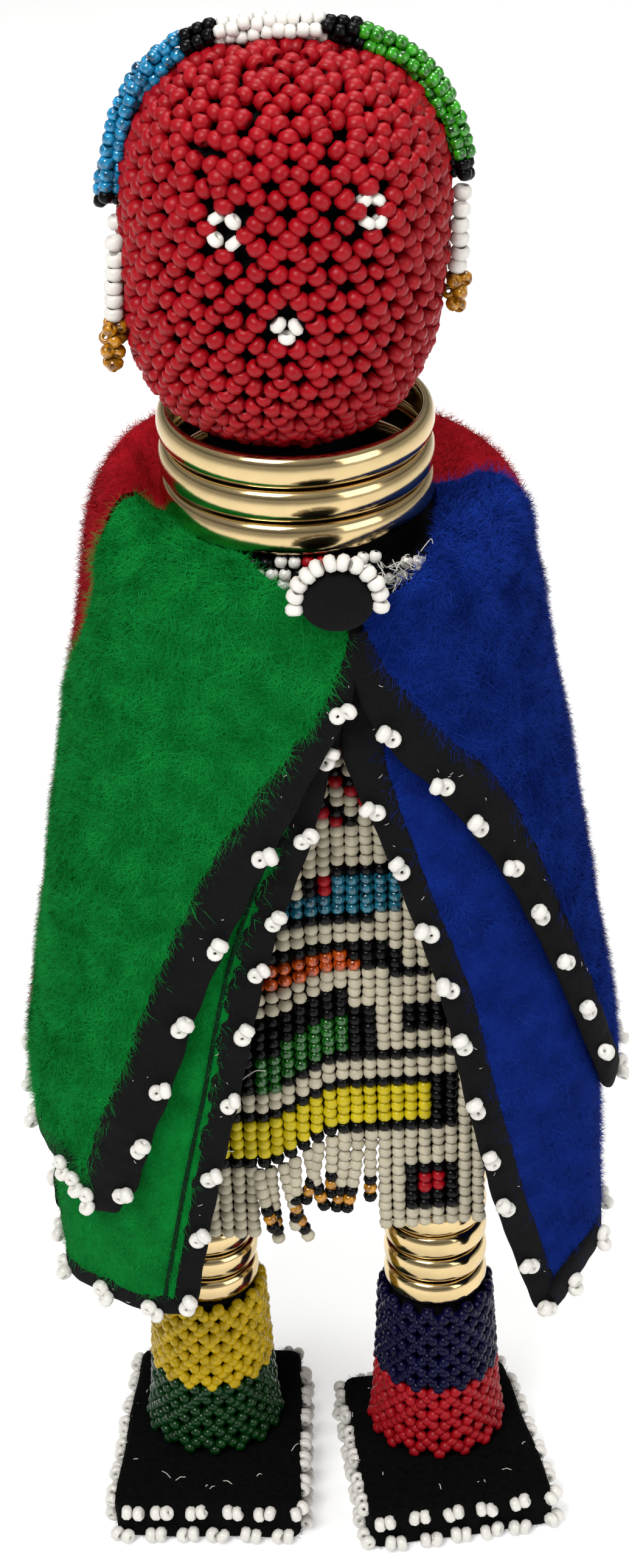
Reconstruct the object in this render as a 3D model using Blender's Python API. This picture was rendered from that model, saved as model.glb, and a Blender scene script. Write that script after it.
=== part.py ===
"""Beaded doll in a fleece cape, standing on two felt-covered blocks.

Metres, +Z up. The doll faces -Y and stands on the plane z = 0, with the origin in the middle of its box.
Left and right are those of someone who faces the doll: left is -X.
"""

import math

import bmesh
import bpy
import numpy as np

mm = 0.001

# Clearances
GAP = 0.3 * mm           # between pieces that touch
LAYER_GAP = 1.0 * mm     # between the two layers of the cape

# Shoes
SHOE_HEIGHT = 8.7 * mm
SHOE_EDGE = 0.7 * mm             # rounding of the felt along the edges
SHOE_CORNER = 2.2 * mm           # rounding of the corners seen from above
HEEL_WIDTH = 31.5 * mm
TOE_WIDTH = 34.5 * mm
LEFT_SHOE_LENGTH = 43.5 * mm
RIGHT_SHOE_LENGTH = 38.5 * mm
LEFT_SHOE_TURN = math.radians(-3.5)
RIGHT_SHOE_TURN = math.radians(8.5)
LEFT_HEEL = 6.0 * mm             # from the back of an anklet to the back of its shoe
RIGHT_HEEL = 1.8 * mm

# Legs
LEG_SPREAD = 21.0 * mm           # from the middle of the doll to each leg
LEFT_LEG_Y = -0.6 * mm
RIGHT_LEG_Y = -3.4 * mm
LEG_LENGTH = 83.0 * mm
LEG_RADIUS = 7.2 * mm            # inside the metal rings
ANKLET_FOOT_RADIUS = 12.2 * mm
ANKLET_TOP_RADIUS = 10.6 * mm
ANKLET_BEAD = 2.0 * mm
ANKLET_LOWER = 13.8 * mm         # height of the lower colour
ANKLET_UPPER = 18.7 * mm         # height of the upper colour
ANKLET_CELLS = 10                # bead cells modelled round an anklet
LEG_RING_HEIGHT = 5.0 * mm
LEG_RING_WALL = 1.9 * mm
LEG_RING_CLEARANCE = 0.35 * mm
LEG_RINGS = 5
LEG_RING_SIDES = 12

# Trunk
TRUNK_HEIGHT = 105.0 * mm
TRUNK_WIDTH = 54.0 * mm
HIP_FRONT = 13.8 * mm             # from the doll's middle plane to the front of the hips
HIP_BACK = 14.0 * mm
CHEST_FRONT = 20.0 * mm
CHEST_BACK = 27.0 * mm

# Head and neck
HEAD_HEIGHT = 61.0 * mm          # from the net's lower edge to the crown
HEAD_WIDTH = 51.0 * mm
HEAD_WIDEST = 0.518              # where the head is widest, as a share of its height
CROWN_POWER = 2.7                # squareness of the crown's outline
CHIN_POWER = 3.0                 # squareness of the outline below the widest part
HEAD_LEAN = math.radians(4.2)    # towards +X, about the middle of the head
HEAD_X = -0.8 * mm               # the head sits a little to the left of the neck rings
NET_BEAD = 2.6 * mm
NET_TUCK = 2.0 * mm              # how far the net goes down into the top ring
NET_CELLS = 18                   # bead cells modelled round the head
NET_ROWS = 16
CORE_ROWS = 6                    # rows modelled up the stuffed head and the inside of the net
NECK_RING_RADIUS = 22.2 * mm
NECK_RING_WALL = 2.0 * mm
NECK_RING_HEIGHT = 5.4 * mm
NECK_RINGS = 3
NECK_RING_SIDES = 24
NECK_RING_CLEARANCE = 0.4 * mm   # between the net and the inside of the top ring

# Headband, ear strands and drops
BAND_RADIUS = 1.75 * mm
EDGE_BEAD = 3.0 * mm             # larger beads of the strands and edgings
EDGE_BEAD_PITCH = 2.2 * mm
LEFT_BAND_FOOT = 0.60            # foot of the band above each ear, as a share of the head's height
RIGHT_BAND_FOOT = 0.655
LEFT_EAR_BEADS = 7
RIGHT_EAR_BEADS = 6
LEFT_DROP_BEADS = 3
RIGHT_DROP_BEADS = 2
BAND_BEADS = (("headband_black_1", 1, "black bead"), ("headband_blue", 12, "blue glass"),
              ("headband_black_2", 2, "black bead"), ("headband_white", 8, "white bead"),
              ("headband_black_3", 2, "black bead"), ("headband_green", 11, "green glass"),
              ("headband_black_4", 2, "black bead"))

# Button that closes the cape
BUTTON_X = 5.6 * mm
BUTTON_WIDTH = 11.7 * mm
BUTTON_HEIGHT = 10.4 * mm
BUTTON_DEPTH = 9.0 * mm
BUTTON_PROUD = 2.1 * mm          # how far its middle stands in front of the cape
BUTTON_RISE = 3.0 * mm           # from the lowest point of the neckline to the ball
SHANK_RADIUS = 1.8 * mm
BUTTON_BEADS = 11

# Strip of beads on the chest
CHEST_STRIP_WIDTH = 30.0 * mm
CHEST_STRIP_HEIGHT = 3.6 * mm
CHEST_STRIP_THICKNESS = 1.4 * mm
CHEST_STRIP_DROP = 0.6 * mm      # below the top of the trunk
CHEST_STRIP_FALL = 3.0 * mm      # how far it would fall back at the sides of the trunk

# Cape
CLOTH = 1.8 * mm                 # thickness of each fleece layer
SHOULDER_CLEARANCE = 2.2 * mm    # between the cloth and the trunk's shoulders
NECKLINE_CLEARANCE = 0.6 * mm    # between the neckline and the inside of the rings
BINDING = 5.5 * mm               # width of the black edging
BINDING_SLANT = 1.1              # its level width on a slanting edge, as a share
CORNER_SHARE = 0.02              # share of the hem that the binding's mitre takes
CAPE_X = 1.4 * mm                # the cape hangs a little to the right of the middle
SHOULDER_HALF = 36.0 * mm
FLARE = 16.2 * mm                # added to each half of the width at the hem
SHOULDER_FRONT = 28.0 * mm
SHOULDER_BACK = 38.5 * mm
FLARE_FRONT = 3.5 * mm
FLARE_BACK = 1.5 * mm
DOME_HEIGHT = 8.0 * mm           # height of the rounded shoulders
FLARE_START = 0.0 * mm           # above the foot of the shoulders
FLARE_END = 96.0 * mm            # below the foot of the shoulders
SQUARENESS = 2.5                 # power of the cape's section
SHOULDER_POWER = 4.2             # squareness of the shoulders' profile
SEAM_ANGLE = math.radians(95)    # side seams, from straight ahead
NECK_DIP = 11.0 * mm             # how much lower the neckline is at the button
NECK_DIP_LEFT = math.radians(8.5)    # how far round the neckline rises to about a third of that
NECK_DIP_RIGHT = math.radians(11)
COLLAR_LEFT = 3.8 * mm           # how far the thick fleece bunches up beside the rings
COLLAR_RIGHT = 2.0 * mm
COLLAR_START = math.radians(35)  # from straight ahead
COLLAR_FULL = math.radians(85)

# Cape edges: distance along the cloth from the middle line at the top and at the tip, height of the tip, bend
GREEN_EDGE = (6.9 * mm, -34.5 * mm, 75.0 * mm, 0.78)
BLUE_EDGE = (7.5 * mm, 57.0 * mm, 92.0 * mm, 0.95)
UNDER_GREEN_EDGE = (6.9 * mm, -25.4 * mm, 53.5 * mm, 0.80)
UNDER_BLUE_EDGE = (7.4 * mm, 45.0 * mm, 45.5 * mm, 0.93)
UNDER_TOP_DROP = 8.0 * mm        # top of the under layer, below the foot of the shoulders
UNDER_OPENING_DROP = 23.0 * mm   # where the under layer starts to open, below the foot of the shoulders
OPENING_DROP = 10.5 * mm         # where the upper layer starts to open

# Apron
APRON_TOP_HALF = 17.0 * mm
APRON_TOP_DROP = 7.2 * mm        # below the foot of the shoulders
APRON_HALF = 28.6 * mm
APRON_HANG = 15.2 * mm           # from the top of the legs down to the fringe
APRON_FLAP_LENGTH = 13.0 * mm    # flaps below that, at both sides
APRON_FLAP_WIDTH = 16.5 * mm
APRON_THICKNESS = 1.9 * mm
APRON_CURVE = 3.0 * mm           # how far its sides fall back round the body
FRINGE_LENGTH = 10.5 * mm
FRINGE_STRANDS = 8
FRINGE_STRAND = 1.7 * mm

# Heights that follow from the sizes above
Z_LEG = SHOE_HEIGHT + GAP
Z_HIP = Z_LEG + LEG_LENGTH + GAP
Z_SHOULDER = Z_HIP + TRUNK_HEIGHT
Z_DOME_TOP = Z_SHOULDER + CLOTH + SHOULDER_CLEARANCE
Z_DOME_FOOT = Z_DOME_TOP - DOME_HEIGHT
NECK_RING_INSIDE = NECK_RING_RADIUS - NECK_RING_WALL
NECK_OPENING = NECK_RING_INSIDE + NECKLINE_CLEARANCE

COLOURS = {
    "black cloth": ((16, 16, 18), 0.9, 0.0),
    "red bead": ((165, 15, 30), 0.35, 0.0),
    "white bead": ((226, 222, 216), 0.35, 0.0),
    "black bead": ((14, 14, 16), 0.25, 0.0),
    "blue glass": ((20, 115, 190), 0.15, 0.0),
    "green glass": ((35, 150, 30), 0.15, 0.0),
    "amber glass": ((190, 125, 20), 0.15, 0.0),
    "yellow glass": ((195, 155, 10), 0.2, 0.0),
    "dark green glass": ((12, 75, 22), 0.2, 0.0),
    "navy bead": ((18, 18, 75), 0.25, 0.0),
    "gold metal": ((205, 175, 105), 0.18, 1.0),
    "green fleece": ((5, 120, 40), 0.95, 0.0),
    "blue fleece": ((10, 25, 110), 0.95, 0.0),
    "red fleece": ((150, 15, 25), 0.95, 0.0),
    "woven beads": ((168, 160, 142), 0.45, 0.0),
    "black felt": ((20, 20, 20), 0.95, 0.0),
}


# Materials and meshes

def linear(channel):
    """One channel of an sRGB colour, 0 to 255, as the linear value that a shader takes."""
    share = channel / 255
    return share / 12.92 if share <= 0.04045 else ((share + 0.055) / 1.055) ** 2.4


def material(name):
    found = bpy.data.materials.get(name)
    if found:
        return found
    colour, roughness, metallic = COLOURS[name]
    made = bpy.data.materials.new(name)
    made.use_nodes = True
    shader = made.node_tree.nodes["Principled BSDF"]
    shader.inputs["Base Color"].default_value = (*[linear(c) for c in colour], 1)
    shader.inputs["Roughness"].default_value = roughness
    shader.inputs["Metallic"].default_value = metallic
    return made


def add_piece(name, points, faces, material_name, sharp=math.radians(50)):
    """A named object from one closed mesh, shaded smooth except over its sharp edges."""
    mesh = bpy.data.meshes.new(name)
    mesh.from_pydata([tuple(p) for p in points], [], faces)
    shape = bmesh.new()
    shape.from_mesh(mesh)
    bmesh.ops.recalc_face_normals(shape, faces=shape.faces)
    shape.to_mesh(mesh)
    shape.free()
    mesh.shade_smooth()
    mesh.set_sharp_from_angle(angle=sharp)
    mesh.materials.append(material(material_name))
    piece = bpy.data.objects.new(name, mesh)
    bpy.context.scene.collection.objects.link(piece)
    return piece


def circle(radius_x, radius_y, z, sides, centre=(0.0, 0.0), power=2.0):
    """A level ring of points, an ellipse or a squarer form of one, starting straight ahead."""
    points = []
    for i in range(sides):
        turn = math.tau * i / sides
        across, ahead = math.sin(turn), math.cos(turn)
        x = math.copysign(abs(across) ** (2 / power), across) * radius_x
        y = -math.copysign(abs(ahead) ** (2 / power), ahead) * radius_y
        points.append((centre[0] + x, centre[1] + y, z))
    return points


def loft(rings, start_pole=None, end_pole=None, closed=False):
    """Joins rings of equal count into one skin. Ends are capped flat or drawn to a pole, or joined to each other."""
    count = len(rings[0])
    points = [p for ring in rings for p in ring]
    faces = []
    for r in range(len(rings) if closed else len(rings) - 1):
        here, there = r * count, (r + 1) % len(rings) * count
        for i in range(count):
            j = (i + 1) % count
            faces.append((here + i, here + j, there + j, there + i))
    if closed:
        return points, faces
    last = (len(rings) - 1) * count
    for pole, first in ((start_pole, 0), (end_pole, last)):
        if pole is None:
            faces.append(tuple(range(first, first + count)))
        else:
            points.append(pole)
            tip = len(points) - 1
            faces += [(first + i, first + (i + 1) % count, tip) for i in range(count)]
    return points, faces


def half_round_ring(name, inside, wall, z, height, sides, centre=(0.0, 0.0)):
    """A metal ring, flat inside and round outside."""
    rings = []
    for angle in (-90, -45, 0, 45, 90):
        radius = inside + wall * math.cos(math.radians(angle))
        level = z + height * (0.5 + 0.5 * math.sin(math.radians(angle)))
        rings.append(circle(radius, radius, level, sides, centre))
    add_piece(name, *loft(rings, closed=True), "gold metal")


def bead_string(name, path, radius, beads, material_name, normal, waist=0.62, sides=5):
    """Beads threaded on a path that lies in one plane, fused at their waists. The path is a function of 0 to 1."""
    normal = np.array(normal, float)
    beads = round(beads)
    rings = []
    for i in range(2 * beads + 1):
        share = i / (2 * beads)
        middle = np.array(path(share))
        along = np.array(path(min(share + 0.01, 1))) - np.array(path(max(share - 0.01, 0)))
        across = np.cross(along / np.linalg.norm(along), normal)
        size = radius * (1 if i % 2 else waist)
        rings.append([middle + size * (math.cos(a) * normal + math.sin(a) * across)
                      for a in (math.tau * k / sides for k in range(sides))])
    add_piece(name, *loft(rings), material_name)


def sheet_solid(name, outer, inner, material_name, keep=None):
    """A closed sheet between two grids of points. Where keep is given, only its true cells are filled."""
    outer, inner = np.array(outer), np.array(inner)
    rows, columns = outer.shape[:2]
    keep = np.ones((rows - 1, columns - 1), bool) if keep is None else keep
    number = {}
    points = []

    def corner(side, r, c):
        if (side, r, c) not in number:
            number[side, r, c] = len(points)
            points.append(tuple((outer, inner)[side][r, c]))
        return number[side, r, c]

    def filled(r, c):
        return 0 <= r < rows - 1 and 0 <= c < columns - 1 and keep[r, c]

    faces = []
    for r in range(rows - 1):
        for c in range(columns - 1):
            if not keep[r, c]:
                continue
            cell = [(r, c), (r, c + 1), (r + 1, c + 1), (r + 1, c)]
            faces.append([corner(0, *p) for p in cell])
            faces.append([corner(1, *p) for p in reversed(cell)])
            neighbours = ((r - 1, c), (r, c + 1), (r + 1, c), (r, c - 1))
            for i, beside in enumerate(neighbours):
                if not filled(*beside):
                    a, b = cell[i], cell[(i + 1) % 4]
                    faces.append([corner(0, *b), corner(0, *a), corner(1, *a), corner(1, *b)])
    add_piece(name, points, faces, material_name)


# Head

def head_outline():
    """The head's outer outline from the net's lower edge to the crown, as points (radius, height) and normals."""
    wide = HEAD_WIDTH / 2
    middle = Z_NET + HEAD_WIDEST * HEAD_HEIGHT
    above = HEAD_HEIGHT * (1 - HEAD_WIDEST)
    to_ring = middle - Z_RINGS_TOP
    aside = to_ring * math.sin(HEAD_LEAN) - HEAD_X
    at_ring = (NECK_RING_INSIDE - NECK_RING_CLEARANCE - aside) / wide
    below = to_ring / (1 - at_ring ** CHIN_POWER) ** (1 / CHIN_POWER)
    lowest = math.asin(((middle - Z_NET) / below) ** (CHIN_POWER / 2))
    angles = np.concatenate([np.linspace(-lowest, 0, 120)[:-1], np.linspace(0, math.pi / 2, 200)])
    upper = angles > 0
    power = np.where(upper, 2 / CROWN_POWER, 2 / CHIN_POWER)
    radius = wide * np.abs(np.cos(angles)) ** power
    height = middle + np.where(upper, above, below) * np.sign(angles) * np.abs(np.sin(angles)) ** power
    slope = np.gradient(radius), np.gradient(height)
    length = np.hypot(*slope)
    return np.stack([radius, height], 1), np.stack([slope[1] / length, -slope[0] / length], 1)


def leaned(points):
    """Points of the head, turned by its lean and moved aside."""
    middle = Z_NET + HEAD_WIDEST * HEAD_HEIGHT
    cos, sin = math.cos(HEAD_LEAN), math.sin(HEAD_LEAN)
    return [(HEAD_X + x * cos + (z - middle) * sin, y, middle + (z - middle) * cos - x * sin) for x, y, z in points]


def head_points(rows, inset):
    """Points (radius, height) evenly along the head's outline, moved in by inset. The last is the pole."""
    points, normals = head_outline()
    steps = np.hypot(*np.diff(points, axis=0).T)
    along = np.concatenate([[0], np.cumsum(steps)])
    wanted = np.linspace(0, along[-1], rows + 1)
    moved = points - inset * normals
    found = np.stack([np.interp(wanted, along, moved[:, i]) for i in (0, 1)], 1)
    found[-1, 0] = 0
    return found


def head_bead_net():
    """The netted beads as one skin: a bump for each bead cell, a dip for each opening between them."""
    columns = 2 * NET_CELLS
    dip = NET_BEAD / 2
    rings = []
    inner = head_points(CORE_ROWS, NET_BEAD)
    for radius, height in inner[-2::-1]:
        rings.append(leaned(circle(radius, radius, height, columns)))
    proud = head_points(NET_ROWS, 0)
    low = head_points(NET_ROWS, dip)
    for row in range(NET_ROWS):
        ring = []
        for i in range(columns):
            radius, height = (proud, low)[(i + row) % 2][row]
            turn = math.tau * i / columns
            ring.append((radius * math.sin(turn), -radius * math.cos(turn), height))
        rings.append(leaned(ring))
    poles = leaned([(0, 0, inner[-1, 1]), (0, 0, low[-1, 1])])
    points, faces = loft(rings, start_pole=poles[0], end_pole=poles[1])
    add_piece("head_bead_net", points, faces, "red bead", sharp=math.radians(80))


def headband_path(left_foot, right_foot):
    """The headband's middle line over the head, from its left foot to its right foot, as a function of 0 to 1."""
    points, normals = head_outline()
    side = points + (GAP + BAND_RADIUS) * normals
    left = side[side[:, 1] > left_foot] * (-1, 1)
    right = side[side[:, 1] > right_foot][::-1]
    line = np.concatenate([left, right[1:]])
    along = np.concatenate([[0], np.cumsum(np.hypot(*np.diff(line, axis=0).T))])

    def path(share):
        wanted = share * along[-1]
        return leaned([(np.interp(wanted, along, line[:, 0]), 0.0, np.interp(wanted, along, line[:, 1]))])[0]

    return path, along[-1]


def headband():
    """The beaded headband in its colours, then a strand and a drop at each ear."""
    left_foot = Z_NET + LEFT_BAND_FOOT * HEAD_HEIGHT
    right_foot = Z_NET + RIGHT_BAND_FOOT * HEAD_HEIGHT
    path, length = headband_path(left_foot, right_foot)
    total = sum(beads for _, beads, _ in BAND_BEADS)
    used = 0
    for name, beads, colour in BAND_BEADS:
        start, end = used / total, (used + beads) / total
        margin = GAP / 2 / length

        def stretch(share, start=start + margin, end=end - margin):
            return path(start + share * (end - start))

        bead_string(name, stretch, BAND_RADIUS, beads, colour, (0, 1, 0), waist=0.85)
        used += beads
    out = HEAD_WIDTH / 2 + GAP + EDGE_BEAD / 2
    for side, foot, strand, drop, name in ((-1, left_foot, LEFT_EAR_BEADS, LEFT_DROP_BEADS, "left"),
                                           (1, right_foot, RIGHT_EAR_BEADS, RIGHT_DROP_BEADS, "right")):
        top = foot - BAND_RADIUS * 0.3 - GAP
        for label, beads, colour in (("ear_strand_", strand, "white bead"), ("ear_drop_", drop, "amber glass")):
            bottom = top - beads * EDGE_BEAD_PITCH

            def hang(share, top=top, bottom=bottom):
                return leaned([(side * out, 0.0, top + share * (bottom - top))])[0]

            bead_string(label + name, hang, EDGE_BEAD / 2, beads, colour, (0, 1, 0))
            top = bottom - GAP


# Body and legs

def stuffed_body():
    """Trunk, neck and head core, one stuffed form."""
    sides = NET_CELLS
    half = TRUNK_WIDTH / 2
    levels = (   # share of the trunk's height, share of its half width, share of its depth
        (0.0, 0.80, 0.75), (0.06, 1.0, 1.0), (0.5, 0.98, 1.0), (0.90, 1.0, 1.0), (0.975, 0.92, 0.98), (1.0, 0.72, 0.82))
    rings = []
    for share, width, depth in levels:
        z = Z_HIP + share * TRUNK_HEIGHT
        front, back = trunk_front(z) * depth, trunk_back(z) * depth
        rings.append(circle(half * width, (front + back) / 2, z, sides, (0, (back - front) / 2), power=2.2))
    core = head_points(CORE_ROWS, NET_BEAD + GAP)
    neck = core[0, 0]
    for z in (Z_SHOULDER + GAP, core[0, 1] - 2 * GAP):
        rings.append(leaned(circle(neck, neck, z, sides)) if z > Z_RINGS else circle(neck, neck, z, sides))
    for radius, height in core[:-1]:
        rings.append(leaned(circle(radius, radius, height, sides)))
    points, faces = loft(rings, end_pole=leaned([(0, 0, core[-1, 1])])[0])
    add_piece("stuffed_body", points, faces, "black cloth")


def trunk_front(z):
    """How far the front of the trunk stands from the middle plane, at a height."""
    share = min(max((z - Z_HIP) / TRUNK_HEIGHT, 0), 1)
    return HIP_FRONT + share * (CHEST_FRONT - HIP_FRONT)


def trunk_back(z):
    """How far the back of the trunk stands from the middle plane, at a height."""
    share = min(max((z - Z_HIP) / TRUNK_HEIGHT, 0), 1)
    return HIP_BACK + share * (CHEST_BACK - HIP_BACK)


def anklet_radius(z):
    """The anklets' outer radius at a height."""
    share = (z - Z_LEG) / (ANKLET_LOWER + GAP + ANKLET_UPPER)
    return ANKLET_FOOT_RADIUS + share * (ANKLET_TOP_RADIUS - ANKLET_FOOT_RADIUS)


def anklet(name, z, height, centre, colour):
    """A sleeve of netted beads, with a bump for each cell."""
    columns = 2 * ANKLET_CELLS
    rows = max(2, round(height / (1.6 * ANKLET_BEAD)))
    dip = 0.4 * ANKLET_BEAD
    rings = []
    for level in (z + height, z):
        inside = anklet_radius(level) - ANKLET_BEAD
        rings.append(circle(inside, inside, level, columns, centre))
    for row in range(rows + 1):
        level = z + height * row / rows
        ring = []
        for i in range(columns):
            radius = anklet_radius(level) - dip * ((i + row) % 2)
            turn = math.tau * i / columns
            ring.append((centre[0] + radius * math.sin(turn), centre[1] - radius * math.cos(turn), level))
        rings.append(ring)
    add_piece(name, *loft(rings, closed=True), colour, sharp=math.radians(80))


def leg(side, name, y, colours):
    """A stuffed leg with its two-coloured anklet and its metal rings."""
    centre = (side * LEG_SPREAD, y)
    anklets_top = Z_LEG + ANKLET_LOWER + GAP + ANKLET_UPPER
    clear = ANKLET_BEAD + GAP
    profile = ((Z_LEG, ANKLET_FOOT_RADIUS - clear), (anklets_top, ANKLET_TOP_RADIUS - clear),
               (anklets_top + GAP, LEG_RADIUS), (Z_LEG + LEG_LENGTH, LEG_RADIUS))
    rings = [circle(radius, radius, z, ANKLET_CELLS, centre) for z, radius in profile]
    add_piece(name + "_leg", *loft(rings), "black cloth")
    lower, upper = colours
    anklet(f"{name}_anklet_{lower[0]}", Z_LEG, ANKLET_LOWER, centre, lower[1])
    anklet(f"{name}_anklet_{upper[0]}", Z_LEG + ANKLET_LOWER + GAP, ANKLET_UPPER, centre, upper[1])
    inside = LEG_RADIUS + LEG_RING_CLEARANCE
    for i in range(LEG_RINGS):
        z = anklets_top + 2 * GAP + i * (LEG_RING_HEIGHT + GAP)
        half_round_ring(f"{name}_leg_ring_{i + 1}", inside, LEG_RING_WALL, z, LEG_RING_HEIGHT, LEG_RING_SIDES, centre)


def shoe(name, side, leg_y, heel_behind, length, turn):
    """A felt-covered block, a little wider at the toe, turned about its leg."""
    heel = ANKLET_FOOT_RADIUS + heel_behind
    outline = ((-HEEL_WIDTH / 2, heel), (HEEL_WIDTH / 2, heel),
               (TOE_WIDTH / 2, heel - length), (-TOE_WIDTH / 2, heel - length))
    rings = []
    for z, inset in ((0, SHOE_EDGE), (SHOE_EDGE, 0), (SHOE_HEIGHT - SHOE_EDGE, 0), (SHOE_HEIGHT, SHOE_EDGE)):
        ring = []
        for i, (x, y) in enumerate(outline):
            cx = x - math.copysign(SHOE_CORNER, x)
            cy = y - (SHOE_CORNER if i < 2 else -SHOE_CORNER)
            for step in (-45, 0, 45):
                angle = math.radians((135, 45, -45, -135)[i] - step)
                reach = SHOE_CORNER - inset
                px, py = cx + reach * math.cos(angle), cy + reach * math.sin(angle)
                ring.append((side * LEG_SPREAD + px * math.cos(turn) - py * math.sin(turn),
                             leg_y + px * math.sin(turn) + py * math.cos(turn), z))
        rings.append(ring)
    add_piece(name, *loft(rings), "black felt", sharp=math.radians(30))


# Cape

def cape_section(z):
    """Half width, front depth and back depth of the cape at a height."""
    share = min(max((Z_DOME_FOOT + FLARE_START - z) / (FLARE_START + FLARE_END), 0), 1)
    up = min(max((z - Z_DOME_FOOT) / DOME_HEIGHT, 0), 1)
    shrink = (1 - up ** SHOULDER_POWER) ** (1 / SHOULDER_POWER)
    return ((SHOULDER_HALF + share * FLARE) * shrink, (SHOULDER_FRONT + share * FLARE_FRONT) * shrink,
            (SHOULDER_BACK + share * FLARE_BACK) * shrink)


def cape_surface(angle, z):
    """A point of the cape's outer surface, by its angle from straight ahead."""
    half, front, back = cape_section(z)
    across, ahead = math.sin(angle), math.cos(angle)
    x = math.copysign(abs(across) ** (2 / SQUARENESS), across) * half
    y = -math.copysign(abs(ahead) ** (2 / SQUARENESS), ahead) * (front if ahead > 0 else back)
    return np.array((CAPE_X + x, y, z + collar_lift(angle, half / SHOULDER_HALF)))


def collar_lift(angle, width_share):
    """How far the shoulders are bunched up at the sides and back, by the share of their width at that height."""
    start = NECK_RING_RADIUS / SHOULDER_HALF
    out = min(max((width_share - start) / (1 - start), 0), 1)
    round_share = min(max((abs(angle) - COLLAR_START) / (COLLAR_FULL - COLLAR_START), 0), 1)
    full = COLLAR_RIGHT + (COLLAR_LEFT - COLLAR_RIGHT) * (1 - math.sin(angle)) / 2
    return full * round_share ** 2 * (3 - 2 * round_share) * math.sin(math.pi * out ** 0.8)


def cape_point(angle, z, inset=0.0):
    """A point of the cape, moved in from the outer surface by inset."""
    step, rise = 0.02, GAP
    level = min(z, Z_DOME_TOP - 2 * rise)
    around = cape_surface(angle + step, level) - cape_surface(angle - step, level)
    up = cape_surface(angle, level + rise) - cape_surface(angle, level - rise)
    out = np.cross(around, up)
    return cape_surface(angle, z) - inset * out / np.linalg.norm(out)


def angle_at(distance, z):
    """The angle of the point that lies a distance along the cloth from the middle line, at a height."""
    angles = np.linspace(-math.pi, math.pi, 241)
    points = np.array([cape_surface(a, z) for a in angles])
    along = np.concatenate([[0], np.cumsum(np.linalg.norm(np.diff(points, axis=0), axis=1))])
    along -= np.interp(0, angles, along)
    return float(np.interp(distance, along, angles))


def neckline(angle):
    """Height of the cape's upper edge: just under the rings, lower round the button."""
    turn = angle - angle_at(BUTTON_X, Z_DOME_FOOT)
    return Z_CAPE_NECK - NECK_DIP * math.exp(-abs(turn) / (NECK_DIP_LEFT if turn < 0 else NECK_DIP_RIGHT))


def levels_between(top, bottom, rows):
    """Heights from the neckline to the hem, closer together over the rounded shoulders."""
    shoulder_rows = 3
    if top <= Z_DOME_FOOT:
        return list(np.linspace(top, bottom, rows + 1))
    rise = min((top - Z_DOME_FOOT) / DOME_HEIGHT, 0.999)
    steep = math.asin(rise ** 2)
    levels = [Z_DOME_FOOT + DOME_HEIGHT * math.sqrt(math.sin(steep * (1 - i / shoulder_rows)))
              for i in range(shoulder_rows)]
    return levels + list(np.linspace(Z_DOME_FOOT, bottom, rows + 1 - shoulder_rows))


def edge_distance(edge, z, top):
    """Distance of a front edge from the middle line, along the cloth, at a height."""
    start, tip, foot, bend = edge
    share = min(max((top - z) / (top - foot), 0), 1)
    return start + (tip - start) * share ** bend


def front_flap(name, binding_name, side, edge, inset, colour, layer_top=None, rows=9, columns=6):
    """One front flap of the cape from its side seam to its front edge, with the binding along edge and hem."""
    foot = edge[2]
    hem = foot + BINDING
    opening = UNDER_OPENING_DROP if layer_top else OPENING_DROP
    seam = side * (SEAM_ANGLE - GAP / 2 / SHOULDER_HALF)

    def levels(angle):
        return levels_between(layer_top if layer_top else neckline(angle), hem, rows)

    def edge_angle(z, trim):
        return angle_at(edge_distance(edge, z, Z_DOME_FOOT - opening) + side * trim, min(z, Z_DOME_FOOT))

    def edge_line(trim):
        """Angle and height of each row where it meets the edge, moved in by trim."""
        return [(edge_angle(z, trim), z) for z in levels(edge_angle(Z_DOME_FOOT, trim))]

    def grid(inner_inset):
        front = edge_line(BINDING * BINDING_SLANT)
        lines = [[] for _ in range(rows + 1)]
        for c in range(columns + 1):
            heights = levels(seam + (front[0][0] - seam) * c / columns)
            for r, line in enumerate(lines):
                line.append(cape_point(seam + (front[r][0] - seam) * c / columns, heights[r], inner_inset))
        return lines

    sheet_solid(name, grid(inset), grid(inset + CLOTH), colour)

    def strip(inner_inset):
        near, far = edge_line(BINDING * BINDING_SLANT - GAP), edge_line(0)
        pairs = [[cape_point(*a, inner_inset), cape_point(*b, inner_inset)] for a, b in zip(near[:-1], far[:-1])]
        corner, tip = near[-1][0], edge_angle(foot, 0)
        pairs.append([cape_point(corner, hem - GAP, inner_inset), cape_point(far[-1][0], hem, inner_inset)])
        for c in range(columns + 1):
            start = corner + (seam - corner) * max(c / columns, CORNER_SHARE)
            pairs.append([cape_point(start, hem - GAP, inner_inset),
                          cape_point(tip + (seam - tip) * c / columns, foot, inner_inset)])
        return pairs

    sheet_solid(binding_name, strip(inset), strip(inset + CLOTH), "black cloth")


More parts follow.
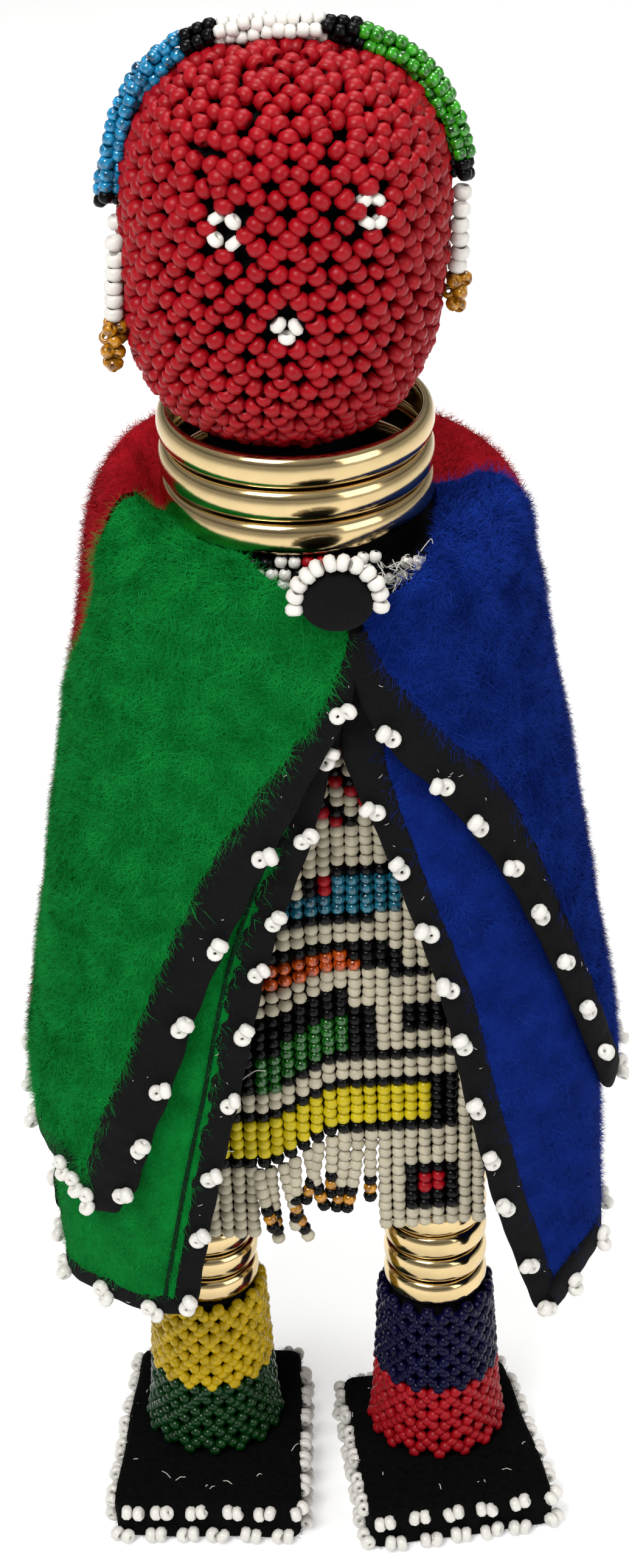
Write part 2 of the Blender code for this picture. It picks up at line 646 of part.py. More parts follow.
def back_panel(name, binding_name, inset, left_foot, right_foot, layer_top=None, rows=8, columns=10):
    """The red back of the cape between the side seams, with the binding along its hem."""
    start = SEAM_ANGLE + GAP / 2 / SHOULDER_HALF
    sweep = math.tau - 2 * start

    def hem(share):
        return right_foot + (left_foot - right_foot) * share

    def grid(lift, inner_inset):
        lines = [[] for _ in range(rows + 1)]
        for c in range(columns + 1):
            share = c / columns
            angle = start + sweep * share
            wrapped = angle - math.tau if angle > math.pi else angle
            top = layer_top if layer_top else neckline(wrapped)
            for r, z in enumerate(levels_between(top, hem(share) + lift, rows)):
                lines[r].append(cape_point(angle, z, inner_inset))
        return lines

    sheet_solid(name, grid(BINDING, inset), grid(BINDING, inset + CLOTH), "red fleece")

    def strip(inner_inset):
        lines = []
        for lift in (BINDING - GAP, 0):
            lines.append([cape_point(start + sweep * c / columns, hem(c / columns) + lift, inner_inset)
                          for c in range(columns + 1)])
        return lines

    sheet_solid(binding_name, strip(inset), strip(inset + CLOTH), "black cloth")


# Button, chest strip and apron

def cape_button():
    """The cloth ball with its shank, and the beads round its upper half."""
    back = -trunk_front(Z_SHOULDER) - GAP - CHEST_STRIP_THICKNESS - GAP
    ball_y = -SHOULDER_FRONT - BUTTON_PROUD
    ball_z = Z_CAPE_NECK - NECK_DIP + BUTTON_HEIGHT / 2 + BUTTON_RISE
    rings = []
    for share in (-0.8, -0.35, 0.2, 0.7):
        y = ball_y + share * BUTTON_DEPTH / 2
        swell = math.sqrt(1 - share ** 2)
        rings.append([(BUTTON_X + BUTTON_WIDTH / 2 * swell * math.cos(a), y,
                       ball_z + BUTTON_HEIGHT / 2 * swell * math.sin(a))
                      for a in (math.tau * k / 12 for k in range(12))])
    for y in (ball_y + BUTTON_DEPTH * 0.45, back):
        rings.append([(BUTTON_X + SHANK_RADIUS * math.cos(a), y, ball_z + SHANK_RADIUS * math.sin(a))
                      for a in (math.tau * k / 12 for k in range(12))])
    points, faces = loft(rings, start_pole=(BUTTON_X, ball_y - BUTTON_DEPTH / 2, ball_z))
    add_piece("cape_button", points, faces, "black cloth")

    def arc(share):
        angle = math.radians(200) * share - math.radians(10)
        reach = EDGE_BEAD / 2 + GAP
        return (BUTTON_X + (BUTTON_WIDTH / 2 + reach) * math.cos(angle), ball_y,
                ball_z + (BUTTON_HEIGHT / 2 + reach) * math.sin(angle))

    bead_string("button_bead_strand", arc, EDGE_BEAD / 2, BUTTON_BEADS, "white bead", (0, 1, 0))


def chest_bead_strip():
    """A strip of beads across the chest, under the rings."""
    columns = 8
    top = Z_SHOULDER - CHEST_STRIP_DROP
    grids = []
    for out in (GAP + CHEST_STRIP_THICKNESS, GAP):
        lines = []
        for z in (top, top - CHEST_STRIP_HEIGHT):
            line = []
            for c in range(columns + 1):
                x = CHEST_STRIP_WIDTH * (c / columns - 0.5)
                fall = (2 * x / TRUNK_WIDTH) ** 2 * CHEST_STRIP_FALL
                line.append((x, -trunk_front(Z_SHOULDER) - out + fall, z))
            lines.append(line)
        grids.append(lines)
    sheet_solid("chest_bead_strip", *grids, "white bead")


def apron_y(x, z, out):
    """Where the apron lies in front of the trunk, its sides falling back a little."""
    return -trunk_front(z) - 2 * GAP - out + APRON_CURVE * (x / APRON_HALF) ** 2 * 0.5


def apron():
    """The woven apron: a panel that widens downwards, with a flap at each side below it, and the fringe between."""
    top = Z_DOME_FOOT - APRON_TOP_DROP
    fringe_top = Z_HIP - APRON_HANG
    widest = fringe_top + 0.4 * (top - fringe_top)
    foot = fringe_top - APRON_FLAP_LENGTH
    inner = APRON_HALF - APRON_FLAP_WIDTH
    levels = list(np.linspace(top, fringe_top, 8)) + [foot]
    grids = []
    for out in (APRON_THICKNESS, 0):
        lines = []
        for z in levels:
            share = min((top - z) / (top - widest), 1)
            grow = APRON_TOP_HALF + share * (APRON_HALF - APRON_TOP_HALF)
            edges = [-APRON_HALF, -(APRON_HALF + inner) / 2, -inner, -inner / 3, inner / 3, inner,
                     (APRON_HALF + inner) / 2, APRON_HALF]
            lines.append([(x * grow / APRON_HALF, apron_y(x, z, out), z) for x in edges])
        grids.append(lines)
    keep = np.ones((len(levels) - 1, 7), bool)
    keep[-1, 2:5] = False
    sheet_solid("apron", *grids, "woven beads", keep)

    half = inner - GAP
    pitch = (2 * half - FRINGE_STRAND) / (FRINGE_STRANDS - 1)
    head, tail = fringe_top - GAP, fringe_top - FRINGE_LENGTH
    neck = head - FRINGE_STRAND
    outline = [(half, head), (-half, head)]
    for i in range(FRINGE_STRANDS):
        left = -half + i * pitch
        outline += [(left, tail), (left + FRINGE_STRAND, tail)]
        if i < FRINGE_STRANDS - 1:
            outline += [(left + FRINGE_STRAND, neck), (left + pitch, neck)]
    rings = [[(x, apron_y(0, fringe_top, out), z) for x, z in outline] for out in (APRON_THICKNESS, 0)]
    add_piece("apron_fringe", *loft(rings), "woven beads", sharp=math.radians(20))


# Heights that need the cape's shape
Z_CAPE_NECK = Z_DOME_FOOT + DOME_HEIGHT * (1 - (NECK_OPENING / SHOULDER_HALF) ** SHOULDER_POWER) ** (1 / SHOULDER_POWER)
Z_RINGS = Z_CAPE_NECK + GAP
Z_RINGS_TOP = Z_RINGS + NECK_RINGS * (NECK_RING_HEIGHT + GAP) - GAP
Z_NET = Z_RINGS_TOP - NET_TUCK


def build():
    for old in list(bpy.data.objects):
        bpy.data.objects.remove(old)
    stuffed_body()
    head_bead_net()
    headband()
    for i in range(NECK_RINGS):
        z = Z_RINGS + i * (NECK_RING_HEIGHT + GAP)
        half_round_ring(f"neck_ring_{i + 1}", NECK_RING_INSIDE, NECK_RING_WALL, z, NECK_RING_HEIGHT, NECK_RING_SIDES)
    under = CLOTH + LAYER_GAP
    under_top = Z_DOME_FOOT - UNDER_TOP_DROP
    front_flap("cape_green", "binding_green", -1, GREEN_EDGE, 0, "green fleece")
    front_flap("cape_blue", "binding_blue", 1, BLUE_EDGE, 0, "blue fleece")
    back_panel("cape_red_back", "binding_back", 0, GREEN_EDGE[2], BLUE_EDGE[2])
    front_flap("underlayer_green", "binding_under_green", -1, UNDER_GREEN_EDGE, under, "green fleece", under_top, 7)
    front_flap("underlayer_blue", "binding_under_blue", 1, UNDER_BLUE_EDGE, under, "blue fleece", under_top, 7)
    back_panel("underlayer_back", "binding_under_back", under, UNDER_GREEN_EDGE[2], UNDER_BLUE_EDGE[2], under_top, 5)
    cape_button()
    chest_bead_strip()
    apron()
    leg(-1, "left", LEFT_LEG_Y, (("green", "dark green glass"), ("yellow", "yellow glass")))
    leg(1, "right", RIGHT_LEG_Y, (("red", "red bead"), ("navy", "navy bead")))
    shoe("left_shoe", -1, LEFT_LEG_Y, LEFT_HEEL, LEFT_SHOE_LENGTH, LEFT_SHOE_TURN)
    shoe("right_shoe", 1, RIGHT_LEG_Y, RIGHT_HEEL, RIGHT_SHOE_LENGTH, RIGHT_SHOE_TURN)
    centre_on_origin()


def centre_on_origin():
    """Moves the whole doll level, so that the middle of its box is above the origin."""
    pieces = list(bpy.context.scene.collection.objects)
    corners = np.array([v.co for piece in pieces for v in piece.data.vertices])
    middle = (corners.min(0) + corners.max(0)) / 2
    for piece in pieces:
        piece.location = (-middle[0], -middle[1], 0)


build()
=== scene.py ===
"""Looks of the beaded doll: beads, metal rings, fleece and cloth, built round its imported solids.

Lengths are in millimetres in a frame whose vertical axis is the middle of the neck rings; to_scene() turns
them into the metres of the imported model. Left and right are those of someone who faces the doll: left is -X.
"""

import math

import bpy
import numpy as np
from mathutils import Euler, Matrix, Vector


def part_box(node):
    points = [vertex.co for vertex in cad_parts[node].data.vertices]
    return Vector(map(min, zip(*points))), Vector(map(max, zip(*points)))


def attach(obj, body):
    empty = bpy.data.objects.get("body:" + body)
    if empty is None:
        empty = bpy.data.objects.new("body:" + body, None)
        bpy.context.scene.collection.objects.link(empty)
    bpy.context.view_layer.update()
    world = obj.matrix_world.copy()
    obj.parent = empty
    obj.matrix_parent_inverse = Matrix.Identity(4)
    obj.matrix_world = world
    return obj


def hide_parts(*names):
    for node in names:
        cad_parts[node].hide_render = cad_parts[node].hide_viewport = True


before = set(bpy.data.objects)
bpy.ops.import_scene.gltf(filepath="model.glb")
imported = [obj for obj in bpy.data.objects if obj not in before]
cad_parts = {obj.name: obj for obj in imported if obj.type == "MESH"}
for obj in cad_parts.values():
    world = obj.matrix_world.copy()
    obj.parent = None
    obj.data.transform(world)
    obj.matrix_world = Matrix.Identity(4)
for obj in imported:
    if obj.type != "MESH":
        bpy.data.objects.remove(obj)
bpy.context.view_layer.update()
rng = np.random.default_rng(11)

mm = 0.001
ring_low, ring_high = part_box("neck_ring_1")
AXIS = np.array([(ring_low[0] + ring_high[0]) / 2, (ring_low[1] + ring_high[1]) / 2, 0.0])

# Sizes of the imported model. FOOT and TOP are heights above the floor
NECKLINE = 201.1
DOME_FOOT = 193.3        # where the cape's shoulders start to round over
DOME_HEIGHT = 8.0
RINGS_FOOT = 201.4
RING_PITCH = 5.7
RING_HEIGHT = 5.4
RING_INSIDE = 20.2
NET_FOOT = 216.2
NET_INSET = 1.3          # of the beads' middles
HEAD_HEIGHT = 61.0
HEAD_HALF = 25.5
HEAD_MIDDLE = NET_FOOT + 0.518 * HEAD_HEIGHT
HEAD_LEAN = math.radians(4.2)
HEAD_X = -0.8
BAND_FEET = {"left": NET_FOOT + 0.55 * HEAD_HEIGHT, "right": NET_FOOT + 0.66 * HEAD_HEIGHT}
LEG_FOOT = 9.0
SHOE_TOP = 8.7
ANKLET_SPLIT = 24.2
ANKLETS_TOP = 41.8
LEG_SPREAD = 21.0
LEGS = {"left": (-LEG_SPREAD, -0.6), "right": (LEG_SPREAD, -3.4)}
CLOTH = 1.8
LAYER = CLOTH + 1.0      # how far the under layer lies inside the upper one
BINDING = 5.5
CAPE_X = 1.4
UNDER_TOP = DOME_FOOT - 8.0
SHOULDER_HALF = 36.0
FRONT_DEPTH = 28.0
BACK_DEPTH = 38.5
SEAM = math.radians(95)
SEAM_GAP = 0.002         # angle left free at each side of a seam

# Places of the face, across and up
EYES = ((-9.7, 255.6), (12.1, 257.3))
MOUTH = (-0.9, 240.0)
MISSING_BEAD = (-11.5, 266.2)


def to_scene(points):
    """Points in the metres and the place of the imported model."""
    return np.asarray(points, float) * mm + AXIS


# Materials

def linear(colour):
    """An sRGB colour, 0 to 255, as the linear values that a shader takes."""
    share = np.array(colour, float) / 255
    return np.where(share <= 0.04045, share / 12.92, ((share + 0.055) / 1.055) ** 2.4)


def finish_of(name, colour, roughness, vary=0.2, grain=700.0, bump=0.0, bump_grain=0.0, metallic=0.0,
              coat=0.0, specular=0.5, second=None):
    """A material whose colour and roughness wander a little, from darker to lighter or to a second colour."""
    made = bpy.data.materials.new(name)
    made.use_nodes = True
    nodes, links = made.node_tree.nodes, made.node_tree.links
    shader = nodes["Principled BSDF"]
    base = linear(colour)
    where = nodes.new("ShaderNodeTexCoord")
    noise = nodes.new("ShaderNodeTexNoise")
    noise.inputs["Scale"].default_value = grain
    noise.inputs["Detail"].default_value = 4
    links.new(where.outputs["Object"], noise.inputs["Vector"])
    ramp = nodes.new("ShaderNodeValToRGB")
    ramp.color_ramp.elements[0].position = 0.3
    ramp.color_ramp.elements[1].position = 0.7
    ramp.color_ramp.elements[0].color = (*np.clip(base * (1 - vary), 0, 1), 1)
    other = linear(second) if second else base * (1 + vary)
    ramp.color_ramp.elements[1].color = (*np.clip(other, 0, 1), 1)
    links.new(noise.outputs["Fac"], ramp.inputs["Fac"])
    links.new(ramp.outputs["Color"], shader.inputs["Base Color"])
    spread = nodes.new("ShaderNodeMapRange")
    spread.inputs["To Min"].default_value = max(roughness - 0.06, 0.02)
    spread.inputs["To Max"].default_value = min(roughness + 0.06, 1)
    links.new(noise.outputs["Fac"], spread.inputs["Value"])
    links.new(spread.outputs["Result"], shader.inputs["Roughness"])
    shader.inputs["Metallic"].default_value = metallic
    shader.inputs["Coat Weight"].default_value = coat
    shader.inputs["Coat Roughness"].default_value = 0.08
    shader.inputs["Specular IOR Level"].default_value = specular
    if bump:
        rough = nodes.new("ShaderNodeTexNoise")
        rough.inputs["Scale"].default_value = bump_grain
        rough.inputs["Detail"].default_value = 6
        links.new(where.outputs["Object"], rough.inputs["Vector"])
        relief = nodes.new("ShaderNodeBump")
        relief.inputs["Strength"].default_value = bump
        relief.inputs["Distance"].default_value = 0.0004
        links.new(rough.outputs["Fac"], relief.inputs["Height"])
        links.new(relief.outputs["Normal"], shader.inputs["Normal"])
    return made


def weave_of(name, colour, pitch, strength):
    """Plain woven cotton: two crossed sets of threads as a bump, over a colour that wanders."""
    made = finish_of(name, colour, 0.88, vary=0.25, grain=900, specular=0.12)
    nodes, links = made.node_tree.nodes, made.node_tree.links
    shader = nodes["Principled BSDF"]
    where = nodes.new("ShaderNodeTexCoord")
    crossed = nodes.new("ShaderNodeMath")
    crossed.operation = "MULTIPLY"
    for i, direction in enumerate(("X", "Z")):
        wave = nodes.new("ShaderNodeTexWave")
        wave.bands_direction = direction
        wave.inputs["Scale"].default_value = 0.314 / (pitch * mm)
        wave.inputs["Distortion"].default_value = 1.2
        wave.inputs["Detail Scale"].default_value = 3.0
        links.new(where.outputs["Object"], wave.inputs["Vector"])
        links.new(wave.outputs["Fac"], crossed.inputs[i])
    relief = nodes.new("ShaderNodeBump")
    relief.inputs["Strength"].default_value = strength
    relief.inputs["Distance"].default_value = 0.0002
    links.new(crossed.outputs["Value"], relief.inputs["Height"])
    links.new(relief.outputs["Normal"], shader.inputs["Normal"])
    return made


def glass_of(name, dark, painted_glint, roughness=0.12, vary=0.5, grain=900, coat=0.3):
    """Clear coloured glass. It is opaque here, so its colour swings at random from dark to painted glints,
    which stand in for the light that clear glass lets through and shines with.
    """
    return finish_of(f"{name} glass", dark, roughness, vary=vary, grain=grain, coat=coat, second=painted_glint)


def fleece_of(name, cloth, cloth_light, vary, pile, pile_light, hair):
    """The materials of a fleece: its cloth, its brushed pile and its stray hairs."""
    return (finish_of(f"{name} fleece", cloth, 0.95, vary=vary, grain=160, bump=0.9, bump_grain=2600,
                      specular=0.05, second=cloth_light),
            finish_of(f"{name} fleece pile", pile, 0.9, vary=0.2, grain=200, specular=0.05,
                      second=pile_light),
            finish_of(f"{name} stray hair", hair, 0.8, vary=0.3, grain=900, specular=0.1))


RED_BEAD = finish_of("red bead glass", (146, 4, 18), 0.4, vary=0.16, grain=350, specular=0.22)
WHITE_BEAD = finish_of("white bead glass", (218, 215, 208), 0.34, vary=0.05, grain=350, coat=0.15)
CREAM_BEAD = finish_of("cream bead glass", (176, 168, 146), 0.42, vary=0.14, grain=260, specular=0.4)
BLACK_BEAD = finish_of("black bead glass", (4, 4, 5), 0.28, vary=0.3, grain=350, specular=0.14)
NAVY_BEAD = finish_of("navy bead glass", (4, 4, 40), 0.3, vary=0.35, grain=420, specular=0.14)
YELLOW_BEAD = finish_of("yellow bead opaque", (186, 168, 6), 0.36, vary=0.12, grain=300, specular=0.35)
YELLOW_GLASS = finish_of("yellow bead glass", (180, 150, 0), 0.26, vary=0.25, grain=420, specular=0.3)
DARK_GREEN_GLASS = finish_of("dark green bead glass", (2, 44, 8), 0.25, vary=0.4, grain=420, specular=0.3)
# The second colour of each glass is a painted glint: light patches that stand in for the shine of clear glass
# beads.
BLUE_GLASS = glass_of("blue bead", (0, 48, 80), (22, 150, 204), 0.1, coat=0.5)
GREEN_GLASS = glass_of("green bead", (2, 48, 3), (52, 164, 20), 0.1, coat=0.5)
AMBER_GLASS = glass_of("amber bead", (96, 46, 1), (206, 140, 20), 0.1, coat=0.5)
TEAL_GLASS = glass_of("teal bead", (2, 38, 54), (30, 116, 140), vary=0.6)
ORANGE_GLASS = glass_of("orange bead", (128, 28, 2), (214, 88, 12))
LEAF_GLASS = glass_of("green woven", (2, 12, 3), (30, 112, 28), grain=2200)
GOLD = finish_of("polished brass", (208, 184, 136), 0.14, vary=0.08, grain=180, metallic=1.0, bump=0.05,
                 bump_grain=500)
FLEECE = {
    "green": fleece_of("green", (4, 104, 36), (8, 122, 46), 0.22, (6, 118, 42), (16, 142, 58), (22, 140, 60)),
    "blue": fleece_of("blue", (7, 27, 96), (13, 38, 118), 0.25, (10, 34, 112), (20, 50, 140), (28, 54, 140)),
    "red": fleece_of("red", (134, 7, 18), (150, 14, 26), 0.2, (146, 10, 22), (164, 22, 34), (172, 36, 46)),
}
BLACK_CLOTH = weave_of("black cotton", (10, 10, 11), 0.35, 0.6)
BINDING_CLOTH = weave_of("black binding cotton", (11, 11, 12), 0.4, 0.7)
FELT = finish_of("black felt", (9, 9, 9), 0.97, vary=0.35, grain=1200, bump=1.0, bump_grain=2200,
                 specular=0.05)
THREAD = finish_of("white thread", (190, 187, 180), 0.8, vary=0.1, grain=800)
SEAM_THREAD = finish_of("dark green seam", (2, 34, 14), 0.9, vary=0.3, grain=900, specular=0.1)


# Meshes

class Heap:
    """Points and faces that are put together into one piece."""

    def __init__(self):
        self.points, self.groups, self.normals = [], [], []
        self.count = 0

    def add(self, points, faces, material=0, normals=None):
        """Faces is an array with three or four corners a row. Material is a number, or one for each face."""
        faces = np.asarray(faces)
        self.points.append(np.asarray(points, float).reshape(-1, 3))
        self.groups.append((faces + self.count, np.broadcast_to(material, len(faces))))
        if normals is not None:
            self.normals.append(np.asarray(normals, float).reshape(-1, 3))
        self.count += len(self.points[-1])

    def piece(self, name, materials, slot, replaces=()):
        """Makes the object, in the one body of the doll, in place of the solids that it replaces."""
        mesh = bpy.data.meshes.new(name)
        points = to_scene(np.concatenate(self.points))
        loops = np.concatenate([f.ravel() for f, _ in self.groups])
        sizes = np.concatenate([np.full(len(f), f.shape[1]) for f, _ in self.groups])
        mesh.vertices.add(len(points))
        mesh.vertices.foreach_set("co", points.ravel())
        mesh.loops.add(len(loops))
        mesh.loops.foreach_set("vertex_index", loops.astype(np.int32))
        mesh.polygons.add(len(sizes))
        mesh.polygons.foreach_set("loop_start", (np.cumsum(sizes) - sizes).astype(np.int32))
        for each in materials:
            mesh.materials.append(each)
        shades = np.concatenate([m for _, m in self.groups])
        mesh.polygons.foreach_set("material_index", shades.astype(np.int32))
        mesh.update(calc_edges=True)
        mesh.validate()
        mesh.shade_smooth()
        if self.normals:
            mesh.normals_split_custom_set_from_vertices(np.concatenate(self.normals))
        made = bpy.data.objects.new(name, mesh)
        bpy.context.scene.collection.objects.link(made)
        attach(made, "root")
        if replaces:
            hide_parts(*replaces)
        return made


def unit(vectors):
    """The same directions with length one."""
    vectors = np.asarray(vectors, float)
    return vectors / np.maximum(np.linalg.norm(vectors, axis=-1, keepdims=True), 1e-9)


def smooth(line, times):
    """Evens out a line of numbers or points in place. Its ends stay."""
    for _ in range(times):
        line[1:-1] = (line[:-2] + 2 * line[1:-1] + line[2:]) / 4


def turns_of(count):
    """That many turns, evenly round."""
    return np.arange(count) * math.tau / count


def tube_faces(rings, sides, closed=False):
    """Quads that join rings of points, one after the other."""
    rows = np.arange(rings if closed else rings - 1)[:, None] * sides
    here = np.arange(sides)[None, :]
    there = (here + 1) % sides
    after = (rows + sides) % (rings * sides)
    return np.stack([rows + here, rows + there, after + there, after + here], -1).reshape(-1, 4)


def close_end(heap, ring, tip, order=(0, 1, 2)):
    """A fan of faces from a ring of points to a tip. Order names a face's corners: point, next one, tip."""
    here = np.arange(len(ring))
    corners = np.stack([here, (here + 1) % len(ring), np.full(len(ring), len(ring))], 1)
    heap.add(np.vstack([ring, tip]), corners[:, order])


def revolved(profile, sides, closed):
    """A profile (radius, height) turned round the z axis."""
    turns = turns_of(sides)
    profile = np.array(profile, float)
    points = np.stack([profile[:, :1] * np.cos(turns), profile[:, :1] * np.sin(turns),
                       np.repeat(profile[:, 1:], sides, 1)], -1)
    return points.reshape(-1, 3), tube_faces(len(profile), sides, closed)


def holed_bead(radius, half, sides=10, hole=0.3):
    """A rounded glass bead with its hole along z."""
    upper = [(hole * radius, 0.72 * half), (0.66 * radius, half), (radius, 0.45 * half)]
    return revolved(upper + [(r, -z) for r, z in upper[::-1]], sides, True)


def strung_bead(radius, half, sides=8, fullness=0.84):
    """A smaller bead, whose ends its neighbours hide."""
    shoulder = 0.9 * fullness * half
    return revolved([(0.3 * radius, half), (fullness * radius, shoulder), (radius, 0.0),
                     (fullness * radius, -shoulder), (0.3 * radius, -half)], sides, False)


NET_BEAD = holed_bead(1.5, 1.12)
FACE_BEAD = holed_bead(1.36, 0.86)
ROPE_BEAD = holed_bead(1.12, 0.95)
EAR_BEAD = holed_bead(1.5, 1.12, 14)
DROP_BEAD = holed_bead(1.15, 0.95)
EDGE_BEAD = holed_bead(1.42, 0.95, 14, 0.2)
SHOE_BEAD = holed_bead(1.38, 0.92, 12, 0.2)
ANKLET_BEAD = strung_bead(1.16, 1.06)
CHEST_BEAD = strung_bead(1.05, 0.92, 10)
WOVEN_BEAD = strung_bead(1.3, 1.02, 8, 0.82)


def strew(heap, form, centres, axes, sizes=1.0, material=0):
    """Copies of a form, each at its centre with its z along its axis and any turn about it."""
    count = len(centres)
    if not count:
        return
    points, faces = form
    centres, axes = np.asarray(centres, float), unit(axes)
    helper = np.where(np.abs(axes[:, 2:]) > 0.8, [[1.0, 0, 0]], [[0, 0, 1.0]])
    across = unit(np.cross(axes, helper))
    frames = np.stack([across, np.cross(across, axes), axes], -1)
    spin = rng.uniform(0, math.tau, count)
    turn = np.zeros((count, 3, 3))
    turn[:, 0, 0] = turn[:, 1, 1] = np.cos(spin)
    turn[:, 0, 1], turn[:, 1, 0] = -np.sin(spin), np.sin(spin)
    turn[:, 2, 2] = 1
    sizes = np.broadcast_to(sizes, count)[:, None, None]
    placed = np.einsum("nij,njk,mk->nmi", frames, turn, points) * sizes + centres[:, None]
    index = faces[None] + np.arange(count)[:, None, None] * len(points)
    shade = np.repeat(np.broadcast_to(material, count), len(faces))
    heap.add(placed, index.reshape(-1, faces.shape[1]), shade)


def settle(points, axes, out, spread):
    """Beads as a hand leaves them: a little in or out of line, a little turned."""
    points = points + out * rng.normal(0, spread, (len(points), 1))
    points = points + rng.normal(0, spread * 0.6, points.shape)
    return points, unit(axes + rng.normal(0, spread, axes.shape))


def resample(line, step):
    """Evenly spaced points on a line, with the direction at each and its share of the way."""
    along = np.concatenate([[0], np.cumsum(np.linalg.norm(np.diff(line, axis=0), axis=1))])
    count = max(int(round(along[-1] / step)), 1)
    wanted = (np.arange(count) + 0.5) * along[-1] / count
    found, ahead, behind = (np.stack([np.interp(wanted + shift, along, line[:, i]) for i in range(3)], 1)
                            for shift in (0, 0.3, -0.3))
    return found, unit(ahead - behind), wanted / along[-1]


# Head

def leaned(points):
    """Points of the head, turned by its lean and moved aside."""
    points = np.asarray(points, float)
    cos, sin = math.cos(HEAD_LEAN), math.sin(HEAD_LEAN)
    rise = points[..., 2] - HEAD_MIDDLE
    return np.stack([HEAD_X + points[..., 0] * cos + rise * sin, points[..., 1],
                     HEAD_MIDDLE + rise * cos - points[..., 0] * sin], -1)


def head_outline():
    """The head's outline from the net's lower edge to the crown: radii, heights and distances along it."""
    rings_top = RINGS_FOOT + 2 * RING_PITCH + RING_HEIGHT
    to_ring = HEAD_MIDDLE - rings_top
    aside = to_ring * math.sin(HEAD_LEAN) - HEAD_X
    at_ring = (RING_INSIDE - 0.4 - aside) / HEAD_HALF
    below = to_ring / (1 - at_ring ** 3) ** (1 / 3)
    lowest = math.asin(((HEAD_MIDDLE - NET_FOOT) / below) ** 1.5)
    turns = np.concatenate([np.linspace(-lowest, 0, 200)[:-1], np.linspace(0, math.pi / 2, 300)])
    power = np.where(turns > 0, 2 / 2.7, 2 / 3)
    radius = HEAD_HALF * np.abs(np.cos(turns)) ** power
    rise = np.where(turns > 0, HEAD_HEIGHT - (HEAD_MIDDLE - NET_FOOT), below)
    height = HEAD_MIDDLE + rise * np.sign(turns) * np.abs(np.sin(turns)) ** power
    along = np.concatenate([[0], np.cumsum(np.hypot(np.diff(radius), np.diff(height)))])
    return radius, height, along


OUTLINE = head_outline()


def on_head(turn, along):
    """Where a bead lies, by its turn from straight ahead and its distance up the outline, and its way out."""
    radius, height, path = OUTLINE
    turn, along = np.broadcast_arrays(np.asarray(turn, float), np.asarray(along, float))
    r, h = np.interp(along, path, radius), np.interp(along, path, height)
    step = 0.6
    dr = np.interp(along + step, path, radius) - np.interp(along - step, path, radius)
    dh = np.interp(along + step, path, height) - np.interp(along - step, path, height)
    out_r, out_h = dh / np.hypot(dr, dh), -dr / np.hypot(dr, dh)
    over = np.maximum(along - path[-1], 0)
    r = np.abs(r - over)
    out = np.stack([out_r * np.sin(turn), -out_r * np.cos(turn), out_h], -1)
    point = np.stack([r * np.sin(turn), -r * np.cos(turn), h], -1) - NET_INSET * out
    middle = np.array([0, 0, HEAD_MIDDLE])
    return leaned(point), leaned(out + middle) - leaned(np.broadcast_to(middle, out.shape))


def net_rows():
    """The crossings of the net, row by row: their turns and their distances up the outline."""
    radius, _, path = OUTLINE
    pitch, cell, cells = 3.86, 6.0, 26
    rows = []
    for row in range(int(path[-1] / pitch) + 1):
        level = 0.9 + row * pitch
        r = np.interp(level, path, radius) - NET_INSET
        if r < 0.78 * cells * cell / math.tau and level > path[-1] * 0.5:
            cells = max(int(round(math.tau * r / cell)), 3)
        turns = (np.arange(cells) + 0.5 * (row % 2) + 0.47) * math.tau / cells
        wobble = rng.normal(0, 0.012, cells)
        rows.append((turns + wobble, level + rng.normal(0, 0.16, cells)))
    return rows


def net_beads():
    """Places, ways out and threads' directions of the beads at the crossings, and of those between them."""
    rows = net_rows()
    crossings, between = [], []
    for row, (turns, along) in enumerate(rows):
        place, out = on_head(turns, along)
        sideways, _ = on_head(turns + 0.02, along)
        crossings.append((place, out, unit(np.cross(out, sideways - place))))
        if row + 1 == len(rows):
            break
        above_turns, above_along = rows[row + 1]
        for side in (-0.5, 0.5):
            want = turns + side * math.tau / len(turns)
            gap = (want[:, None] - above_turns[None, :] + math.pi) % math.tau - math.pi
            near = np.abs(gap).argmin(1)
            there, _ = on_head(above_turns[near], above_along[near])
            middle_turn = turns + ((above_turns[near] - turns + math.pi) % math.tau - math.pi) / 2
            here, out = on_head(middle_turn, (along + above_along[near]) / 2)
            between.append((here, out, unit(there - place)))
    return [[np.concatenate(part) for part in zip(*beads)] for beads in (crossings, between)]


